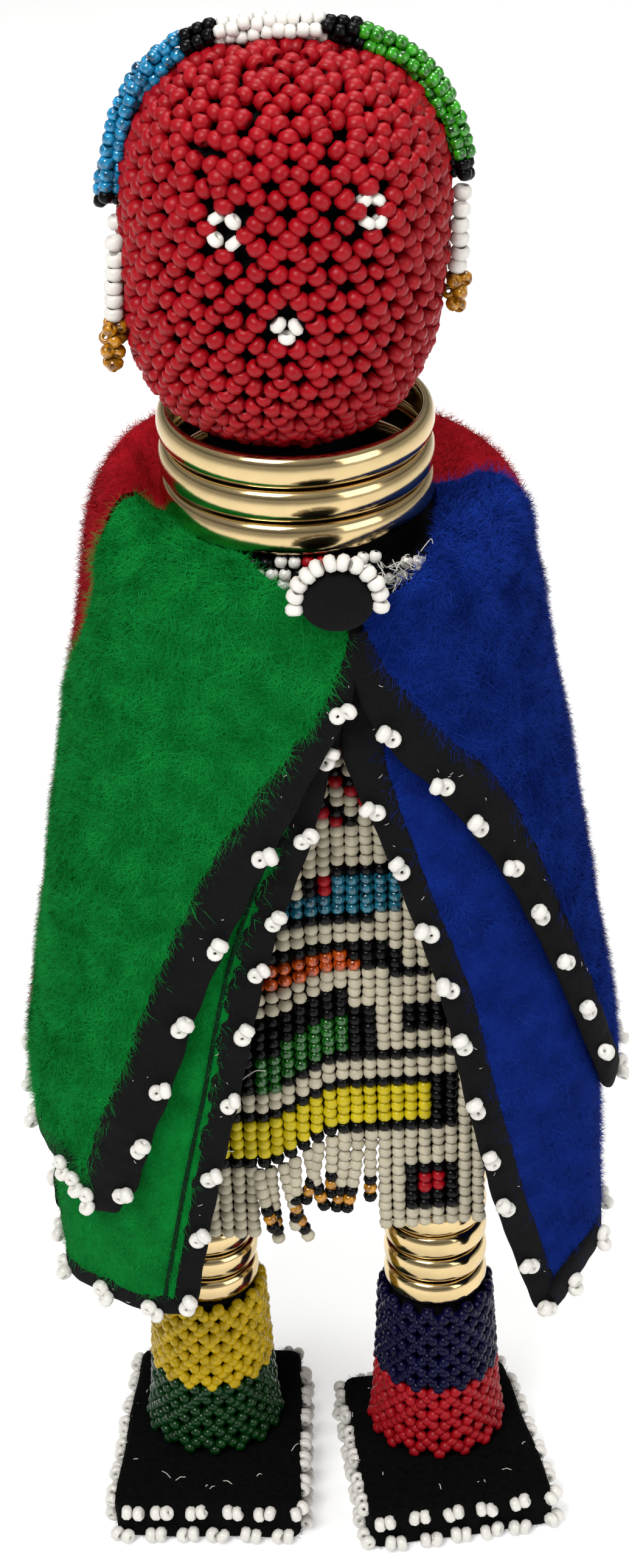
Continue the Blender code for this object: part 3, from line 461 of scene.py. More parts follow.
def draw_face(nodes, edges, edge_out, edge_along):
    """Picks the white beads of the eyes and mouth, and moves the beads near them to fit the face."""
    white_node, white_edge = np.zeros(len(nodes), bool), np.zeros(len(edges), bool)
    hidden = np.where(nodes[:, 1] < -10, 0, 99)
    pulls = []

    def gather(beads, centre, shares, x, z):
        white_edge[beads] = True
        edges[beads] = centre + (edges[beads] - centre) * shares
        away = edges[beads] - centre
        out = edge_out[beads]
        edge_along[beads] = unit(away - (away * out).sum(1, keepdims=True) * out)
        pulls.append((centre, np.array([x - centre[0], 0, z - centre[2]])))

    for x, z in EYES:
        top = (np.hypot(nodes[:, 0] - x, nodes[:, 2] - z - 3.6) + hidden).argmin()
        under = (nodes[:, 2] < nodes[top, 2] - 5) & (nodes[:, 2] > nodes[top, 2] - 10)
        below = np.where(under, np.abs(nodes[:, 0] - nodes[top, 0]) + hidden, 99).argmin()
        centre = (nodes[top] + nodes[below]) / 2
        gather(np.linalg.norm(edges - centre, axis=1).argsort()[:4], centre, (0.84, 1.0, 0.86), x, z)
    x, z = MOUTH
    lip = (np.hypot(nodes[:, 0] - x, nodes[:, 2] - z) + hidden).argmin()
    white_node[lip] = True
    reach = np.linalg.norm(edges - nodes[lip], axis=1) + np.where(edges[:, 2] > nodes[lip, 2], 0, 99)
    gather(reach.argsort()[:2], nodes[lip] + (0, 0, 0.8), (0.88, 1.0, 0.88), x, z)
    for points in (nodes, edges):
        near = [np.exp(-(((points - centre) ** 2).sum(1)) / 100)[:, None] for centre, _ in pulls]
        points += sum(share * pull for share, (_, pull) in zip(near, pulls))
    return white_node, white_edge


def head_net():
    """Netted beads: one bead where the threads cross, and one on each side of every opening."""
    (nodes, node_out, node_along), (edges, edge_out, edge_along) = net_beads()
    nodes, node_along = settle(nodes, node_along, node_out, 0.10)
    edges, edge_along = settle(edges, edge_along, edge_out, 0.10)
    hidden = np.where(nodes[:, 1] < -10, 0, 99)
    missing = (np.hypot(nodes[:, 0] - MISSING_BEAD[0], nodes[:, 2] - MISSING_BEAD[1]) + hidden).argmin()
    white_node, white_edge = draw_face(nodes, edges, edge_out, edge_along)
    red = ~white_node
    red[missing] = False

    def sizes(points):
        share = np.interp(points[:, 2], (220, 232, 246), (0.93, 0.99, 1.05))
        return share * rng.normal(1, 0.04, len(points)).clip(0.9, 1.1)

    heap, face = Heap(), Heap()
    strew(heap, NET_BEAD, nodes[red], node_along[red], sizes(nodes[red]))
    strew(heap, NET_BEAD, edges[~white_edge], edge_along[~white_edge], sizes(edges[~white_edge]))
    filled, out = gap_fillers(np.concatenate([nodes, edges]), OUTLINE[2][-1])
    strew(heap, NET_BEAD, filled, unit(np.cross(out, [0, 0, 1.0])), sizes(filled))
    heap.piece("head_bead_netting", [RED_BEAD], "red_beads", ["head_bead_net"])
    strew(face, FACE_BEAD, nodes[white_node], node_along[white_node])
    strew(face, FACE_BEAD, edges[white_edge], edge_along[white_edge])
    face.piece("face_beads", [WHITE_BEAD], "white_beads")


def gap_fillers(beads, reach):
    """Beads for the wide gaps where rows of different counts meet."""
    spots, out = on_head(rng.uniform(-math.pi, math.pi, 9000), reach * rng.random(9000) ** 0.8)
    spots, out = spots[spots[:, 2] > 226], out[spots[:, 2] > 226]
    found = []
    for _ in range(60):
        gap = np.full(len(spots), 99.0)
        for part in np.array_split(np.arange(len(spots)), 20):
            gap[part] = np.linalg.norm(spots[part, None] - beads[None], axis=-1).min(1)
        widest = gap.argmax()
        if gap[widest] < 2.75:
            break
        found.append(widest)
        beads = np.vstack([beads, spots[widest]])
    return spots[found], out[found]


def headband_line(off):
    """The headband's middle line, left foot to right foot, at a distance off the head's outline."""
    radius, height, _ = OUTLINE
    slope_r, slope_h = np.gradient(radius), np.gradient(height)
    size = np.hypot(slope_r, slope_h)
    side = np.stack([radius + off * slope_h / size, height - off * slope_r / size], 1)
    left = side[side[:, 1] > BAND_FEET["left"]] * (-1, 1)
    right = side[side[:, 1] > BAND_FEET["right"]][::-1]
    line = np.concatenate([left, right[1:]])
    return leaned(np.stack([line[:, 0], np.zeros(len(line)), line[:, 1]], 1))


def headband():
    """A rope of four bead strands over the head, in its colours."""
    places, along, share = resample(headband_line(1.5), 1.82)
    colours = (("black", 1), ("blue", 12), ("black", 2), ("white", 8), ("black", 2), ("green", 11),
               ("black", 2))
    total = sum(n for _, n in colours)
    limits = np.cumsum([n / total for _, n in colours])
    section = np.minimum(np.searchsorted(limits, share, side="right"), len(colours) - 1)
    names = np.array([c for c, _ in colours])[section]
    heaps = {c: Heap() for c in ("black", "blue", "white", "green")}
    up = np.cross(along, [0, 1.0, 0])
    for strand in range(4):
        twist = strand * math.tau / 4 + 5.2 * share * 1.6
        push = 1.25 + 0.1 * np.sin(17 * share + strand * 2.1)
        way = np.cos(twist)[:, None] * up + np.sin(twist)[:, None] * np.array([0, 1.25, 0])
        shift = along * (strand - 1.5) * 0.45
        at, axis = settle(places + push[:, None] * way + shift, along, up, 0.13)
        for colour, heap in heaps.items():
            mine = names == colour
            strew(heap, ROPE_BEAD, at[mine], axis[mine], rng.normal(1, 0.04, mine.sum()))
    for colour, material, slot, parts in (("black", BLACK_BEAD, "black_beads", ("_1", "_2", "_3", "_4")),
                                          ("blue", BLUE_GLASS, "blue_glass_beads", ("",)),
                                          ("white", WHITE_BEAD, "white_beads", ("",)),
                                          ("green", GREEN_GLASS, "green_glass_beads", ("",))):
        heaps[colour].piece(f"headband_{colour}_beads", [material], slot,
                            [f"headband_{colour}{part}" for part in parts])


def ear(name, out, forward, count, drops):
    """The strand of white beads at one ear and the drop of amber beads below it."""
    side, pitch = math.copysign(1, out), 2.2
    top = BAND_FEET[name] - 1.0
    steps = (np.arange(count) + 0.5) * pitch
    ahead = forward * np.clip(steps / 4, 0.3, 1)
    at = leaned(np.stack([np.full(count, out), ahead, top - steps], 1))
    at, axis = settle(at, np.tile([0.06 * side, 0, 1.0], (count, 1)), np.tile([1.0, 0, 0], (count, 1)), 0.08)
    strand, cluster = Heap(), Heap()
    strew(strand, EAR_BEAD, at, axis)
    strand.piece(f"ear_strand_{name}_beads", [WHITE_BEAD], "white_beads", [f"ear_strand_{name}"])
    top -= count * pitch
    for level in range(drops + 1):
        ring = turns_of(3) + level * 0.9
        reach = 1.15 if level < drops else 0.5
        at = np.stack([out + reach * np.cos(ring), forward + reach * np.sin(ring),
                       np.full(3, top - 1.0 - level * 2.05)], 1)
        strew(cluster, DROP_BEAD, leaned(at) + rng.normal(0, 0.12, (3, 3)),
              np.stack([-np.sin(ring), np.cos(ring), np.full(3, 0.7)], 1))
    cluster.piece(f"ear_drop_{name}_beads", [AMBER_GLASS], "amber_glass_beads", [f"ear_drop_{name}"])


# Metal rings

def metal_ring(node, inside, wall, z, height, centre, sides):
    """A half-round ring, flat inside, its edges just broken."""
    arc = np.linspace(-88, 88, 13)
    profile = [(inside, height * 0.06), (inside, height * 0.94)]
    profile += [(inside + 0.15 + (wall - 0.15) * math.cos(math.radians(a)) ** 0.7,
                 height * (0.5 + 0.5 * math.sin(math.radians(a)))) for a in arc[::-1]]
    heap = Heap()
    points, faces = revolved(profile, sides, True)
    turn = np.arctan2(points[:, 1], points[:, 0])
    points[:, 2] += z + 0.10 * np.sin(turn + z) + 0.04 * np.sin(3 * turn + 2 * z)
    heap.add(points + (*centre, 0), faces[:, ::-1])
    heap.piece(f"{node}_metal", [GOLD], "gold_metal", [node])


def metal_rings():
    """Three rings at the neck and five on each leg."""
    for i in range(3):
        foot = RINGS_FOOT + i * RING_PITCH
        metal_ring(f"neck_ring_{i + 1}", RING_INSIDE, 2.0, foot, RING_HEIGHT, (0, 0), 120)
    for name, centre in LEGS.items():
        for i in range(5):
            metal_ring(f"{name}_leg_ring_{i + 1}", 7.55, 1.9, ANKLETS_TOP + 0.6 + i * 5.3, 5.0, centre, 72)


# Legs, anklets and shoes

def anklets():
    """Fine netting round each leg, in two colours."""
    colours = {"left": (("green", DARK_GREEN_GLASS, "dark_green_glass_beads"),
                        ("yellow", YELLOW_GLASS, "yellow_glass_beads")),
               "right": (("red", RED_BEAD, "red_beads"), ("navy", NAVY_BEAD, "navy_beads"))}
    cells, count = 16, 14
    pitch = (ANKLETS_TOP - 0.5 - LEG_FOOT - 0.8) / (count - 1)
    for name, centre in LEGS.items():
        lower, upper = Heap(), Heap()
        rows = LEG_FOOT + 0.8 + np.arange(count) * pitch
        for row, level in enumerate(rows):
            for kind, shift, lift in (("node", 0.0, 0.0), ("edge", -0.25, 0.5), ("edge", 0.25, 0.5)):
                if kind == "edge" and row == len(rows) - 1:
                    continue
                turns = (np.arange(cells) + 0.5 * (row % 2) + shift) * math.tau / cells
                z = level + lift * pitch + rng.normal(0, 0.09, cells)
                radius = (11.4 - (z - LEG_FOOT) / 32.8 * 1.8 + 0.9 * np.exp((LEG_FOOT - z) / 3.0)
                          + rng.normal(0, 0.06, cells))
                out = np.stack([np.sin(turns), -np.cos(turns), np.zeros(cells)], 1)
                middle = np.stack([np.full(cells, centre[0]), np.full(cells, centre[1]), z], 1)
                at = out * radius[:, None] + middle
                around = np.stack([np.cos(turns), np.sin(turns), np.zeros(cells)], 1)
                axis = around if kind == "node" else around * math.copysign(0.9, shift) + (0, 0, 1.0)
                heap = lower if level + lift * pitch < ANKLET_SPLIT else upper
                strew(heap, ANKLET_BEAD, at, axis, rng.normal(1, 0.04, cells))
        for heap, (colour, material, slot) in zip((lower, upper), colours[name]):
            heap.piece(f"{name}_anklet_{colour}_netting", [material], slot, [f"{name}_anklet_{colour}"])


def fibres(heap, roots, normals, along, length, width, lean, spread, bent=False, material=0):
    """Fine tapering hairs, shaded like the cloth under them. Bent ones have two lengths, the others one."""
    count = len(roots)
    side = unit(np.cross(normals, along))
    swing = rng.normal(0, spread, (count, 1))
    lift = np.abs(rng.normal(lean, 0.25, (count, 1)))
    way = unit(along * np.cos(swing) + side * np.sin(swing) + normals * lift)
    reach = length * rng.uniform(0.5, 1.25, (count, 1))
    face = unit(np.cross(way, normals) + normals * rng.normal(0, 0.6, (count, 1)))
    half = width * rng.uniform(0.7, 1.3, (count, 1)) / 2
    shade = unit(normals + 0.2 * way)[:, None]
    if not bent:
        points = np.stack([roots - face * half, roots + face * half, roots + way * reach], 1)
        heap.add(points, np.arange(count)[:, None] * 3 + [0, 1, 2], material, np.repeat(shade, 3, 1))
        return
    middle = roots + way * reach * 0.5
    droop = normals * 0.35 * rng.uniform(0.2, 1.4, (count, 1))
    second = unit(way - droop + side * rng.normal(0, 0.3, (count, 1)))
    tip = middle + second * reach * 0.5
    points = np.stack([roots - face * half, roots + face * half, middle + face * half * 0.8,
                       middle - face * half * 0.8, tip], 1)
    base = np.arange(count)[:, None] * 5
    start = heap.count
    heap.add(points, base + [0, 1, 2, 3], material, np.repeat(shade, 5, 1))
    heap.groups.append((base + [3, 2, 4] + start, np.full(count, material)))


def rounded_outline(half_front, half_back, front, back, corner, count):
    """A four-sided outline with rounded corners, evenly spaced."""
    corners = ((-half_back, back, 1, -1), (-half_front, front, 1, 1), (half_front, front, -1, 1),
               (half_back, back, -1, -1))
    points = []
    for i, (x, y, sx, sy) in enumerate(corners):
        for step in np.linspace(0, math.pi / 2, 7):
            turn = (math.pi / 2, math.pi, 1.5 * math.pi, 0)[i] + step
            points.append((x + sx * corner + corner * math.cos(turn),
                           y + sy * corner + corner * math.sin(turn), 0))
    line = np.array(points + points[:1])
    found, along, _ = resample(line, np.linalg.norm(np.diff(line, axis=0), axis=1).sum() / count)
    return found[:, :2], along[:, :2]


def shoe(name, back, length, turn):
    """A felt-covered block, its upper and lower edges sewn with pairs of beads. Back is its heel's place."""
    centre, front = LEGS[name], back - length
    count = 132
    outline, along = rounded_outline(17.25, 15.75, front, back, 2.4, count)
    out = np.stack([-along[:, 1], along[:, 0]], 1)
    out *= np.sign((out * (outline - (0, (front + back) / 2))).sum())
    middle = np.array([0, (front + back) / 2])
    rings, ways = [], []
    edge = 1.3
    for z, inset, up in [(0, 0.9, -1), (0.35, 0.25, -0.6), (0.9, 0, 0), (2.6, 0.05, 0), (4.4, 0.1, 0),
                         (6.2, 0.05, 0), (SHOE_TOP - edge, 0, 0), (SHOE_TOP - 0.5, 0.25, 0.5),
                         (SHOE_TOP - 0.1, 0.8, 0.9), (SHOE_TOP, 1.5, 1)]:
        wave = 0.16 * np.sin(np.arange(count) * 0.33 + z * 0.6 + centre[0]) * (z > 0.3)
        ring = outline - out * (inset - wave[:, None])
        rings.append(np.column_stack([ring, np.full(count, z)]))
        ways.append(np.column_stack([out * (1 - abs(up)), np.full(count, up)]))
    for share in np.linspace(0.88, 0.0, 9):
        ring = middle + (outline - out * 1.5 - middle) * max(share, 0.02)
        bump = 0.14 * np.sin(ring[:, 0] * 0.55 + centre[0]) * np.cos(ring[:, 1] * 0.42)
        bump = bump * min(1, 3 * (1 - share))
        rings.append(np.column_stack([ring, SHOE_TOP + bump - 0.02]))
        ways.append(np.tile([0, 0, 1.0], (count, 1)))
    cos, sin = math.cos(turn), math.sin(turn)
    spin = np.array([[cos, sin, 0], [-sin, cos, 0], [0, 0, 1]])
    points = np.concatenate(rings) @ spin + (centre[0], centre[1], 0)
    ways = unit(np.concatenate(ways) @ spin)
    heap = Heap()
    heap.add(points, tube_faces(len(rings), count))
    close_end(heap, points[:count], (*(middle @ spin[:2, :2] + centre), 0), (0, 2, 1))
    heap.piece(f"{name}_shoe_felt", [FELT], "black_felt", [f"{name}_shoe"])

    fuzz = Heap()
    pick = rng.integers(count, len(points), 9000)
    nudge = rng.normal(0, 0.45, (len(pick), 3)) * (1 - np.abs(ways[pick]))
    flow = unit(rng.normal(0, 1, (len(pick), 3)))
    flow = unit(flow - (flow * ways[pick]).sum(1, keepdims=True) * ways[pick])
    fibres(fuzz, points[pick] + nudge, ways[pick], flow, 1.2, 0.07, lean=0.6, spread=1.0)
    fuzz.points[0][:, 2] = fuzz.points[0][:, 2].clip(0.03)
    fuzz.piece(f"{name}_shoe_nap", [FELT], "black_felt")

    beads = Heap()
    line = np.vstack([outline, outline[:1]])
    for z, pitch, tilt in ((SHOE_TOP - 1.9, 6.3, 0.25), (1.6, 5.9, 0.0)):
        spots, ahead, _ = resample(np.column_stack([line, np.zeros(len(line))]), pitch)
        outward = np.stack([ahead[:, 1], -ahead[:, 0], np.zeros(len(ahead))], 1)
        outward *= np.sign((outward[:, :2] * (spots[:, :2] - middle)).sum())
        shift = ahead * rng.normal(0, 0.25, (len(spots), 1))
        for step in (-0.5, 0.5):
            at = spots + shift + ahead * step * 1.95 + outward * (0.9 if z < 4 else 0.55)
            at = at + np.array([0, 0, 1]) * (z + rng.normal(0, 0.22, (len(spots), 1)))
            at = (at + rng.normal(0, 0.1, at.shape)) @ spin + (centre[0], centre[1], 0)
            at[:, 2] = at[:, 2].clip(1.55)
            face = unit(ahead + outward * 0.25 + np.array([0, 0, tilt])) @ spin
            strew(beads, SHOE_BEAD, at, unit(face + rng.normal(0, 0.2, face.shape)))
    beads.piece(f"{name}_shoe_beads", [WHITE_BEAD], "white_beads")


# Cape

def cape(angle, z):
    """Points of the cape's outer surface, by the angle from straight ahead and the height."""
    angle, z = np.broadcast_arrays(np.asarray(angle, float), np.asarray(z, float))
    share = np.clip((DOME_FOOT - z) / 96.0, 0, 1)
    up = np.clip((z - DOME_FOOT) / DOME_HEIGHT, 0, 0.9999)
    shrink = (1 - up ** 4.2) ** (1 / 4.2)
    across, ahead = np.sin(angle), np.cos(angle)
    depth = np.where(ahead > 0, FRONT_DEPTH + 3.5 * share, BACK_DEPTH + 1.5 * share)
    x = CAPE_X + np.sign(across) * np.abs(across) ** 0.8 * (SHOULDER_HALF + 16.2 * share) * shrink
    y = -np.sign(ahead) * np.abs(ahead) ** 0.8 * depth * shrink
    round_share = np.clip((np.abs(angle) - math.radians(35)) / math.radians(50), 0, 1)
    hump = np.sin(math.pi * np.clip((shrink - 0.66) / 0.34, 0, 1) ** 0.9)
    lift = (2.2 + 4.4 * (1 - across) / 2) * round_share ** 2 * (3 - 2 * round_share) * hump
    return np.stack([x, y, z + lift], -1)


def fold(angle, z):
    """How far the cloth stands out in its soft folds, more towards the hem."""
    share = np.clip((DOME_FOOT - z) / 120, 0, 1) ** 1.3
    side = np.abs(np.sin(angle))
    return share * (0.9 * np.sin(6 * angle + 0.8) * side + 0.6 * np.sin(11 * angle + 2.0)
                    + 0.5 * np.sin(4 * angle + 0.045 * z))


def cape_at(angle, z, inset=0.0):
    """Points of the cape moved in by inset, and the way out there."""
    angle, z = np.broadcast_arrays(np.asarray(angle, float), np.asarray(z, float))
    level = np.minimum(z, DOME_FOOT + DOME_HEIGHT - 0.6)
    around = cape(angle + 0.02, level) - cape(angle - 0.02, level)
    rise = cape(angle, level + 0.3) - cape(angle, level - 0.3)
    out = unit(np.cross(around, rise))
    return cape(angle, z) + out * (fold(angle, z) - inset)[..., None], out


LEVELS = np.linspace(40.0, DOME_FOOT, 60)
ANGLES = np.linspace(-math.pi, math.pi, 721)


def lengths_round():
    """For each level, the distance along the cloth from the middle line to each angle."""
    table = []
    for level in LEVELS:
        points = cape(ANGLES, level)
        along = np.concatenate([[0], np.cumsum(np.linalg.norm(np.diff(points, axis=0), axis=1))])
        table.append(along - np.interp(0, ANGLES, along))
    return np.array(table)


LENGTHS = lengths_round()


def angle_at(distance, z):
    """The angle that lies a distance along the cloth from the middle line, at a height."""
    distance, z = np.broadcast_arrays(np.asarray(distance, float), np.asarray(z, float))
    place = np.clip((z - LEVELS[0]) / (LEVELS[1] - LEVELS[0]), 0, len(LEVELS) - 1.001)
    index = place.astype(int)
    found = np.zeros(distance.shape)
    for i in np.unique(index):
        mine = index == i
        share = place[mine] - i
        low = np.interp(distance[mine], LENGTHS[i], ANGLES)
        high = np.interp(distance[mine], LENGTHS[i + 1], ANGLES)
        found[mine] = low * (1 - share) + high * share
    return found


def neckline(angle):
    """Height of the cape's upper edge: just under the rings, lower round the button."""
    turn = angle - float(angle_at(5.6, DOME_FOOT))
    return NECKLINE - 11.0 * np.exp(-np.abs(turn) / np.where(turn < 0, math.radians(8), math.radians(11)))


def heights(top, bottom, rows):
    """Heights from the upper edge to the hem for each column, closer together over the shoulders."""
    top = np.asarray(top, float)
    dome = 9
    rise = np.clip((top - DOME_FOOT) / DOME_HEIGHT, 0, 0.999)
    steep = np.arcsin(rise ** 2)
    lines = []
    for i in range(dome):
        on_dome = DOME_FOOT + DOME_HEIGHT * np.sqrt(np.sin(steep * (1 - i / dome)))
        lines.append(np.where(top > DOME_FOOT, on_dome, top - (i / dome) * 2.0))
    start = np.where(top > DOME_FOOT, DOME_FOOT, top - 2.0)
    for share in np.linspace(0, 1, rows - dome):
        lines.append(start + (bottom - start) * share)
    return np.array(lines)


FRONTS = {   # height, distance of the free edge along the cloth from the middle line, width of the binding
    "green": ((193, 6.9, 0.8), (188, 6.9, 1.0), (184.8, 7.2, 3.1), (177, 5.9, 5.0), (165, -0.5, 7.8),
              (150.3, -8.0, 9.4), (136, -14.8, 9.8), (120, -21.5, 9.8), (107, -25.4, 10.0), (95, -29.8, 10.2),
              (84, -33.0, 10.2), (75, -35.6, 9.0)),
    "blue": ((193, 6.2, 1.6), (188, 5.6, 4.4), (184, 5.3, 6.2), (178, 7.6, 8.6), (170.8, 10.8, 11.0),
             (162.5, 19.0, 11.0), (155.8, 23.7, 10.0), (149.5, 28.2, 8.8), (141, 33.3, 7.4), (124, 41.0, 6.6),
             (113, 45.3, 6.2), (103, 49.0, 6.0), (92, 54.5, 5.6)),
    "under_green": ((193, 6.9, 6.0), (175, 5.8, 6.0), (166.8, 2.7, 6.2), (156, 0.2, 6.2), (148.5, -2.2, 6.2),
                    (135.3, -7.2, 6.2), (123, -10.6, 6.2), (102, -15.0, 5.8), (86, -18.9, 5.6),
                    (73, -21.6, 5.4), (53.5, -25.4, 5.4)),
    "under_blue": ((193, 4.4, 6.0), (170, 4.2, 7.0), (163.5, 5.9, 6.2), (156, 9.2, 5.4), (150.8, 11.2, 4.8),
                   (137.5, 15.7, 4.7), (128, 18.8, 5.0), (118.5, 21.5, 5.4), (99, 25.0, 5.6), (88, 27.8, 5.6),
                   (76, 30.6, 5.6), (61, 36.0, 5.6), (45.5, 42.0, 5.6)),
}
HEMS = {"green": 75.0, "blue": 92.0, "under_green": 53.5, "under_blue": 45.5}
RISES = {"green": 11.0, "under_blue": 14.0}
FRONT_POINTS = 140   # of the lines down the front edges


def hem_at(key, share):
    """Height of a flap's hem, by the share of the way from its front corner to the side seam."""
    share = np.clip(np.asarray(share, float) / 0.6, 0, 1)
    return HEMS[key] + RISES.get(key, 0) * share * (2 - share)


def edge_at(key, z):
    """Distance of a front's free edge along the cloth, and the level width of its binding, at a height."""
    points = np.array(FRONTS[key])[::-1]
    steps = np.linspace(-4, 4, 9)
    z = np.asarray(z, float)
    return [sum(np.interp(z + step, points[:, 0], points[:, i]) for step in steps) / len(steps)
            for i in (1, 2)]


def sheet(node, angle, z, inset, colour):
    """A closed fleece sheet over a grid: its piece, outer points, ways out and flat size in metres."""
    outer, out = cape_at(angle, z, inset)
    inner = outer - out * (CLOTH - 0.2)
    rows, columns = angle.shape
    heap = Heap()
    r, c = np.meshgrid(np.arange(rows - 1), np.arange(columns - 1), indexing="ij")
    first = (r * columns + c).ravel()
    quads = np.stack([first, first + 1, first + columns + 1, first + columns], 1)
    size = rows * columns
    border = np.concatenate([np.arange(columns), np.arange(1, rows) * columns + columns - 1,
                             (rows - 1) * columns + np.arange(columns - 2, -1, -1),
                             np.arange(rows - 2, 0, -1) * columns])
    after = np.roll(border, -1)
    wall = np.stack([border, border + size, after + size, after], 1)
    facing = np.cross(outer[0, 1] - outer[0, 0], outer[1, 0] - outer[0, 0]) @ out[0, 0]
    if facing < 0:
        quads, wall = quads[:, ::-1], wall[:, ::-1]
    faces = np.concatenate([quads, quads[:, ::-1] + size, wall[:, ::-1]])
    heap.add(np.concatenate([outer.reshape(-1, 3), inner.reshape(-1, 3)]), faces)
    piece = heap.piece(f"{node}_cloth", FLEECE[colour][:1], f"{colour}_fleece", [node])
    down, right = outer[1:, :-1] - outer[:-1, :-1], outer[:-1, 1:] - outer[:-1, :-1]
    area = np.linalg.norm(np.cross(down, right), axis=-1)
    wide = np.linalg.norm(np.diff(outer, axis=1), axis=-1).sum(1).max()
    tall = np.linalg.norm(np.diff(outer, axis=0), axis=-1).sum(0).max()
    return piece, outer, out, (wide * mm, tall * mm, float(area.sum()) * mm * mm)


def pile(name, outer, out, count, length, colour):
    """The brushed pile of a sheet: short hairs rooted all over it, and a few long stray ones."""
    across, down = outer[:-1, 1:] - outer[:-1, :-1], outer[1:, :-1] - outer[:-1, :-1]
    area = np.linalg.norm(np.cross(across, down), axis=-1).ravel()
    heap = Heap()
    for share, reach, width, lean, spread, bent in ((0.97, 1.0, 0.12, 0.6, 1.4, False),
                                                    (0.035, 1.7, 0.055, 0.35, 0.9, True)):
        many = int(count * share)
        cell = rng.choice(len(area), many, p=area / area.sum())
        r, c = np.divmod(cell, outer.shape[1] - 1)
        u, v = rng.random((2, many, 1))
        roots = (outer[r, c] * (1 - u) * (1 - v) + outer[r, c + 1] * u * (1 - v)
                 + outer[r + 1, c] * (1 - u) * v + outer[r + 1, c + 1] * u * v)
        normals = out[r, c]
        flow = unit(outer[r + 1, c] - outer[r, c])
        side = unit(np.cross(normals, flow))
        x, z = roots[:, 0], roots[:, 2]
        comb = 0.5 * np.sin(x * 0.35 + z * 0.11) + 0.4 * np.sin(z * 0.23 - x * 0.17)
        along = unit(flow + side * comb[:, None])
        clump = 0.85 + 0.2 * np.sin(x * 0.9 + 2 * np.sin(z * 0.4))[:, None]
        fibres(heap, roots - normals * 0.15, normals, along, length * reach * clump, width, lean, spread,
               bent=bent, material=int(bent))
    return heap.piece(name, FLEECE[colour][1:], f"{colour}_fleece")


def edging_line(key, side):
    """A flap's binding as angles, heights and level widths: down its front edge and along its hem."""
    foot = HEMS[key]
    z = np.linspace(DOME_FOOT - (1.5 if "under" not in key else 9), foot + BINDING / 2, FRONT_POINTS)
    edge, width = edge_at(key, z)
    front = angle_at(edge + side * width / 2, z)
    hem = np.linspace(front[-1], side * SEAM, 90)[1:]
    angle = np.concatenate([front, hem])
    height = np.concatenate([z, hem_at(key, np.linspace(0, 1, 90)[1:]) + BINDING / 2])
    width = np.concatenate([width, np.full(len(hem), BINDING)])
    for line in (angle, height, width):
        smooth(line, 4)
    return angle, height, width


def edging(node, angle, height, width, inset, front=0):
    """A folded cotton binding over the cloth's edge. Front counts its points that run down a front edge."""
    places, out = cape_at(angle, height, inset + (CLOTH - 0.2) / 2)
    middle, along, share = resample(places, 0.9)
    travel = np.concatenate([[0], np.cumsum(np.linalg.norm(np.diff(places, axis=0), axis=1))])
    where = share * travel[-1]
    normal = unit(np.stack([np.interp(where, travel, out[:, i]) for i in range(3)], 1))
    across = unit(np.cross(normal, along))
    slope = np.clip(np.abs(along[:, 2]), 0.45, 1)
    level = np.interp(where, travel, width)
    on_front = where < (travel[front - 1] - 4 if front else 0)
    sides = 16
    turns = turns_of(sides)
    half_w = np.where(on_front, level * slope, BINDING) / 2 + 0.15
    smooth(half_w, 6)
    half_w = half_w * (1 + 0.035 * np.sin(where * 0.6 + len(node) + 6))
    half_h = 1.4 * (1 + 0.10 * np.sin(where * 0.62) + 0.06 * np.sin(where * 1.7 + 1))
    cos, sin = np.cos(turns), np.sin(turns)
    flat = np.sign(cos) * np.abs(cos) ** 0.6
    high = np.sign(sin) * np.abs(sin) ** 0.75
    rings = (middle[:, None] + across[:, None] * (half_w[:, None] * flat)[..., None]
             + normal[:, None] * (half_h[:, None] * high)[..., None])
    heap = Heap()
    heap.add(rings, tube_faces(len(middle), sides))
    close_end(heap, rings[0], rings[0].mean(0))
    close_end(heap, rings[-1], rings[-1].mean(0), (2, 1, 0))
    piece = heap.piece(f"{node}_cloth", [BINDING_CLOTH], "black_cloth", [node])
    return piece, middle, along, normal, across, half_w


def bead_pairs(heap, spots, along, normal, across, lift=1.9):
    """Pairs of beads sewn on a binding: one lies flat with its hole showing, the other leans on its edge."""
    count = len(spots)
    lean = rng.uniform(0.1, 0.9, (count, 1))
    way = unit(along - across * lean)
    low = spots + normal * lift + way * 1.0
    high = spots + normal * (lift + 0.55) - way * 1.0
    strew(heap, EDGE_BEAD, low, unit(normal + rng.normal(0, 0.16, way.shape)), rng.normal(1, 0.04, count))
    strew(heap, EDGE_BEAD, high, unit(way + normal * 0.45 + rng.normal(0, 0.25, way.shape)),
          rng.normal(1, 0.04, count))


PAIRS = {   # heights of the bead pairs down each front edge
    "green": (178, 153, 136, 120, 107, 95, 84),
    "blue": (175, 165, 156.5, 146, 135.5, 124, 113, 103),
    "under_green": (169, 154, 139, 128, 116, 102, 86, 73, 56),
    "under_blue": (159, 148, 135, 124, 112, 99, 88, 76, 61, 50),
}


def sewn_on(line, side, key=None, foot=0.0):
    """Where the bead pairs are sewn: down the front by their heights, near its free edge, then on the hem."""
    _, middle, along, normal, across, half_w = line
    hem = int(np.argmax(middle[:, 2] < foot + BINDING / 2 + 0.9)) if key else 0
    wanted = [int(np.abs(middle[:hem, 2] - h).argmin()) for h in PAIRS[key]] if key else []
    wanted += [hem + 2, hem + 6, hem + 10] if key == "green" else []
    wanted += list(range(hem + (24 if key == "green" else 5), len(middle) - 3, 11))
    wanted = np.array(wanted)
    free = np.where(wanted < hem, 1.0, 0.8)[:, None] * (half_w[wanted] - 1.2)[:, None] * side
    return middle[wanted] + across[wanted] * free, along[wanted], normal[wanted], across[wanted] * side


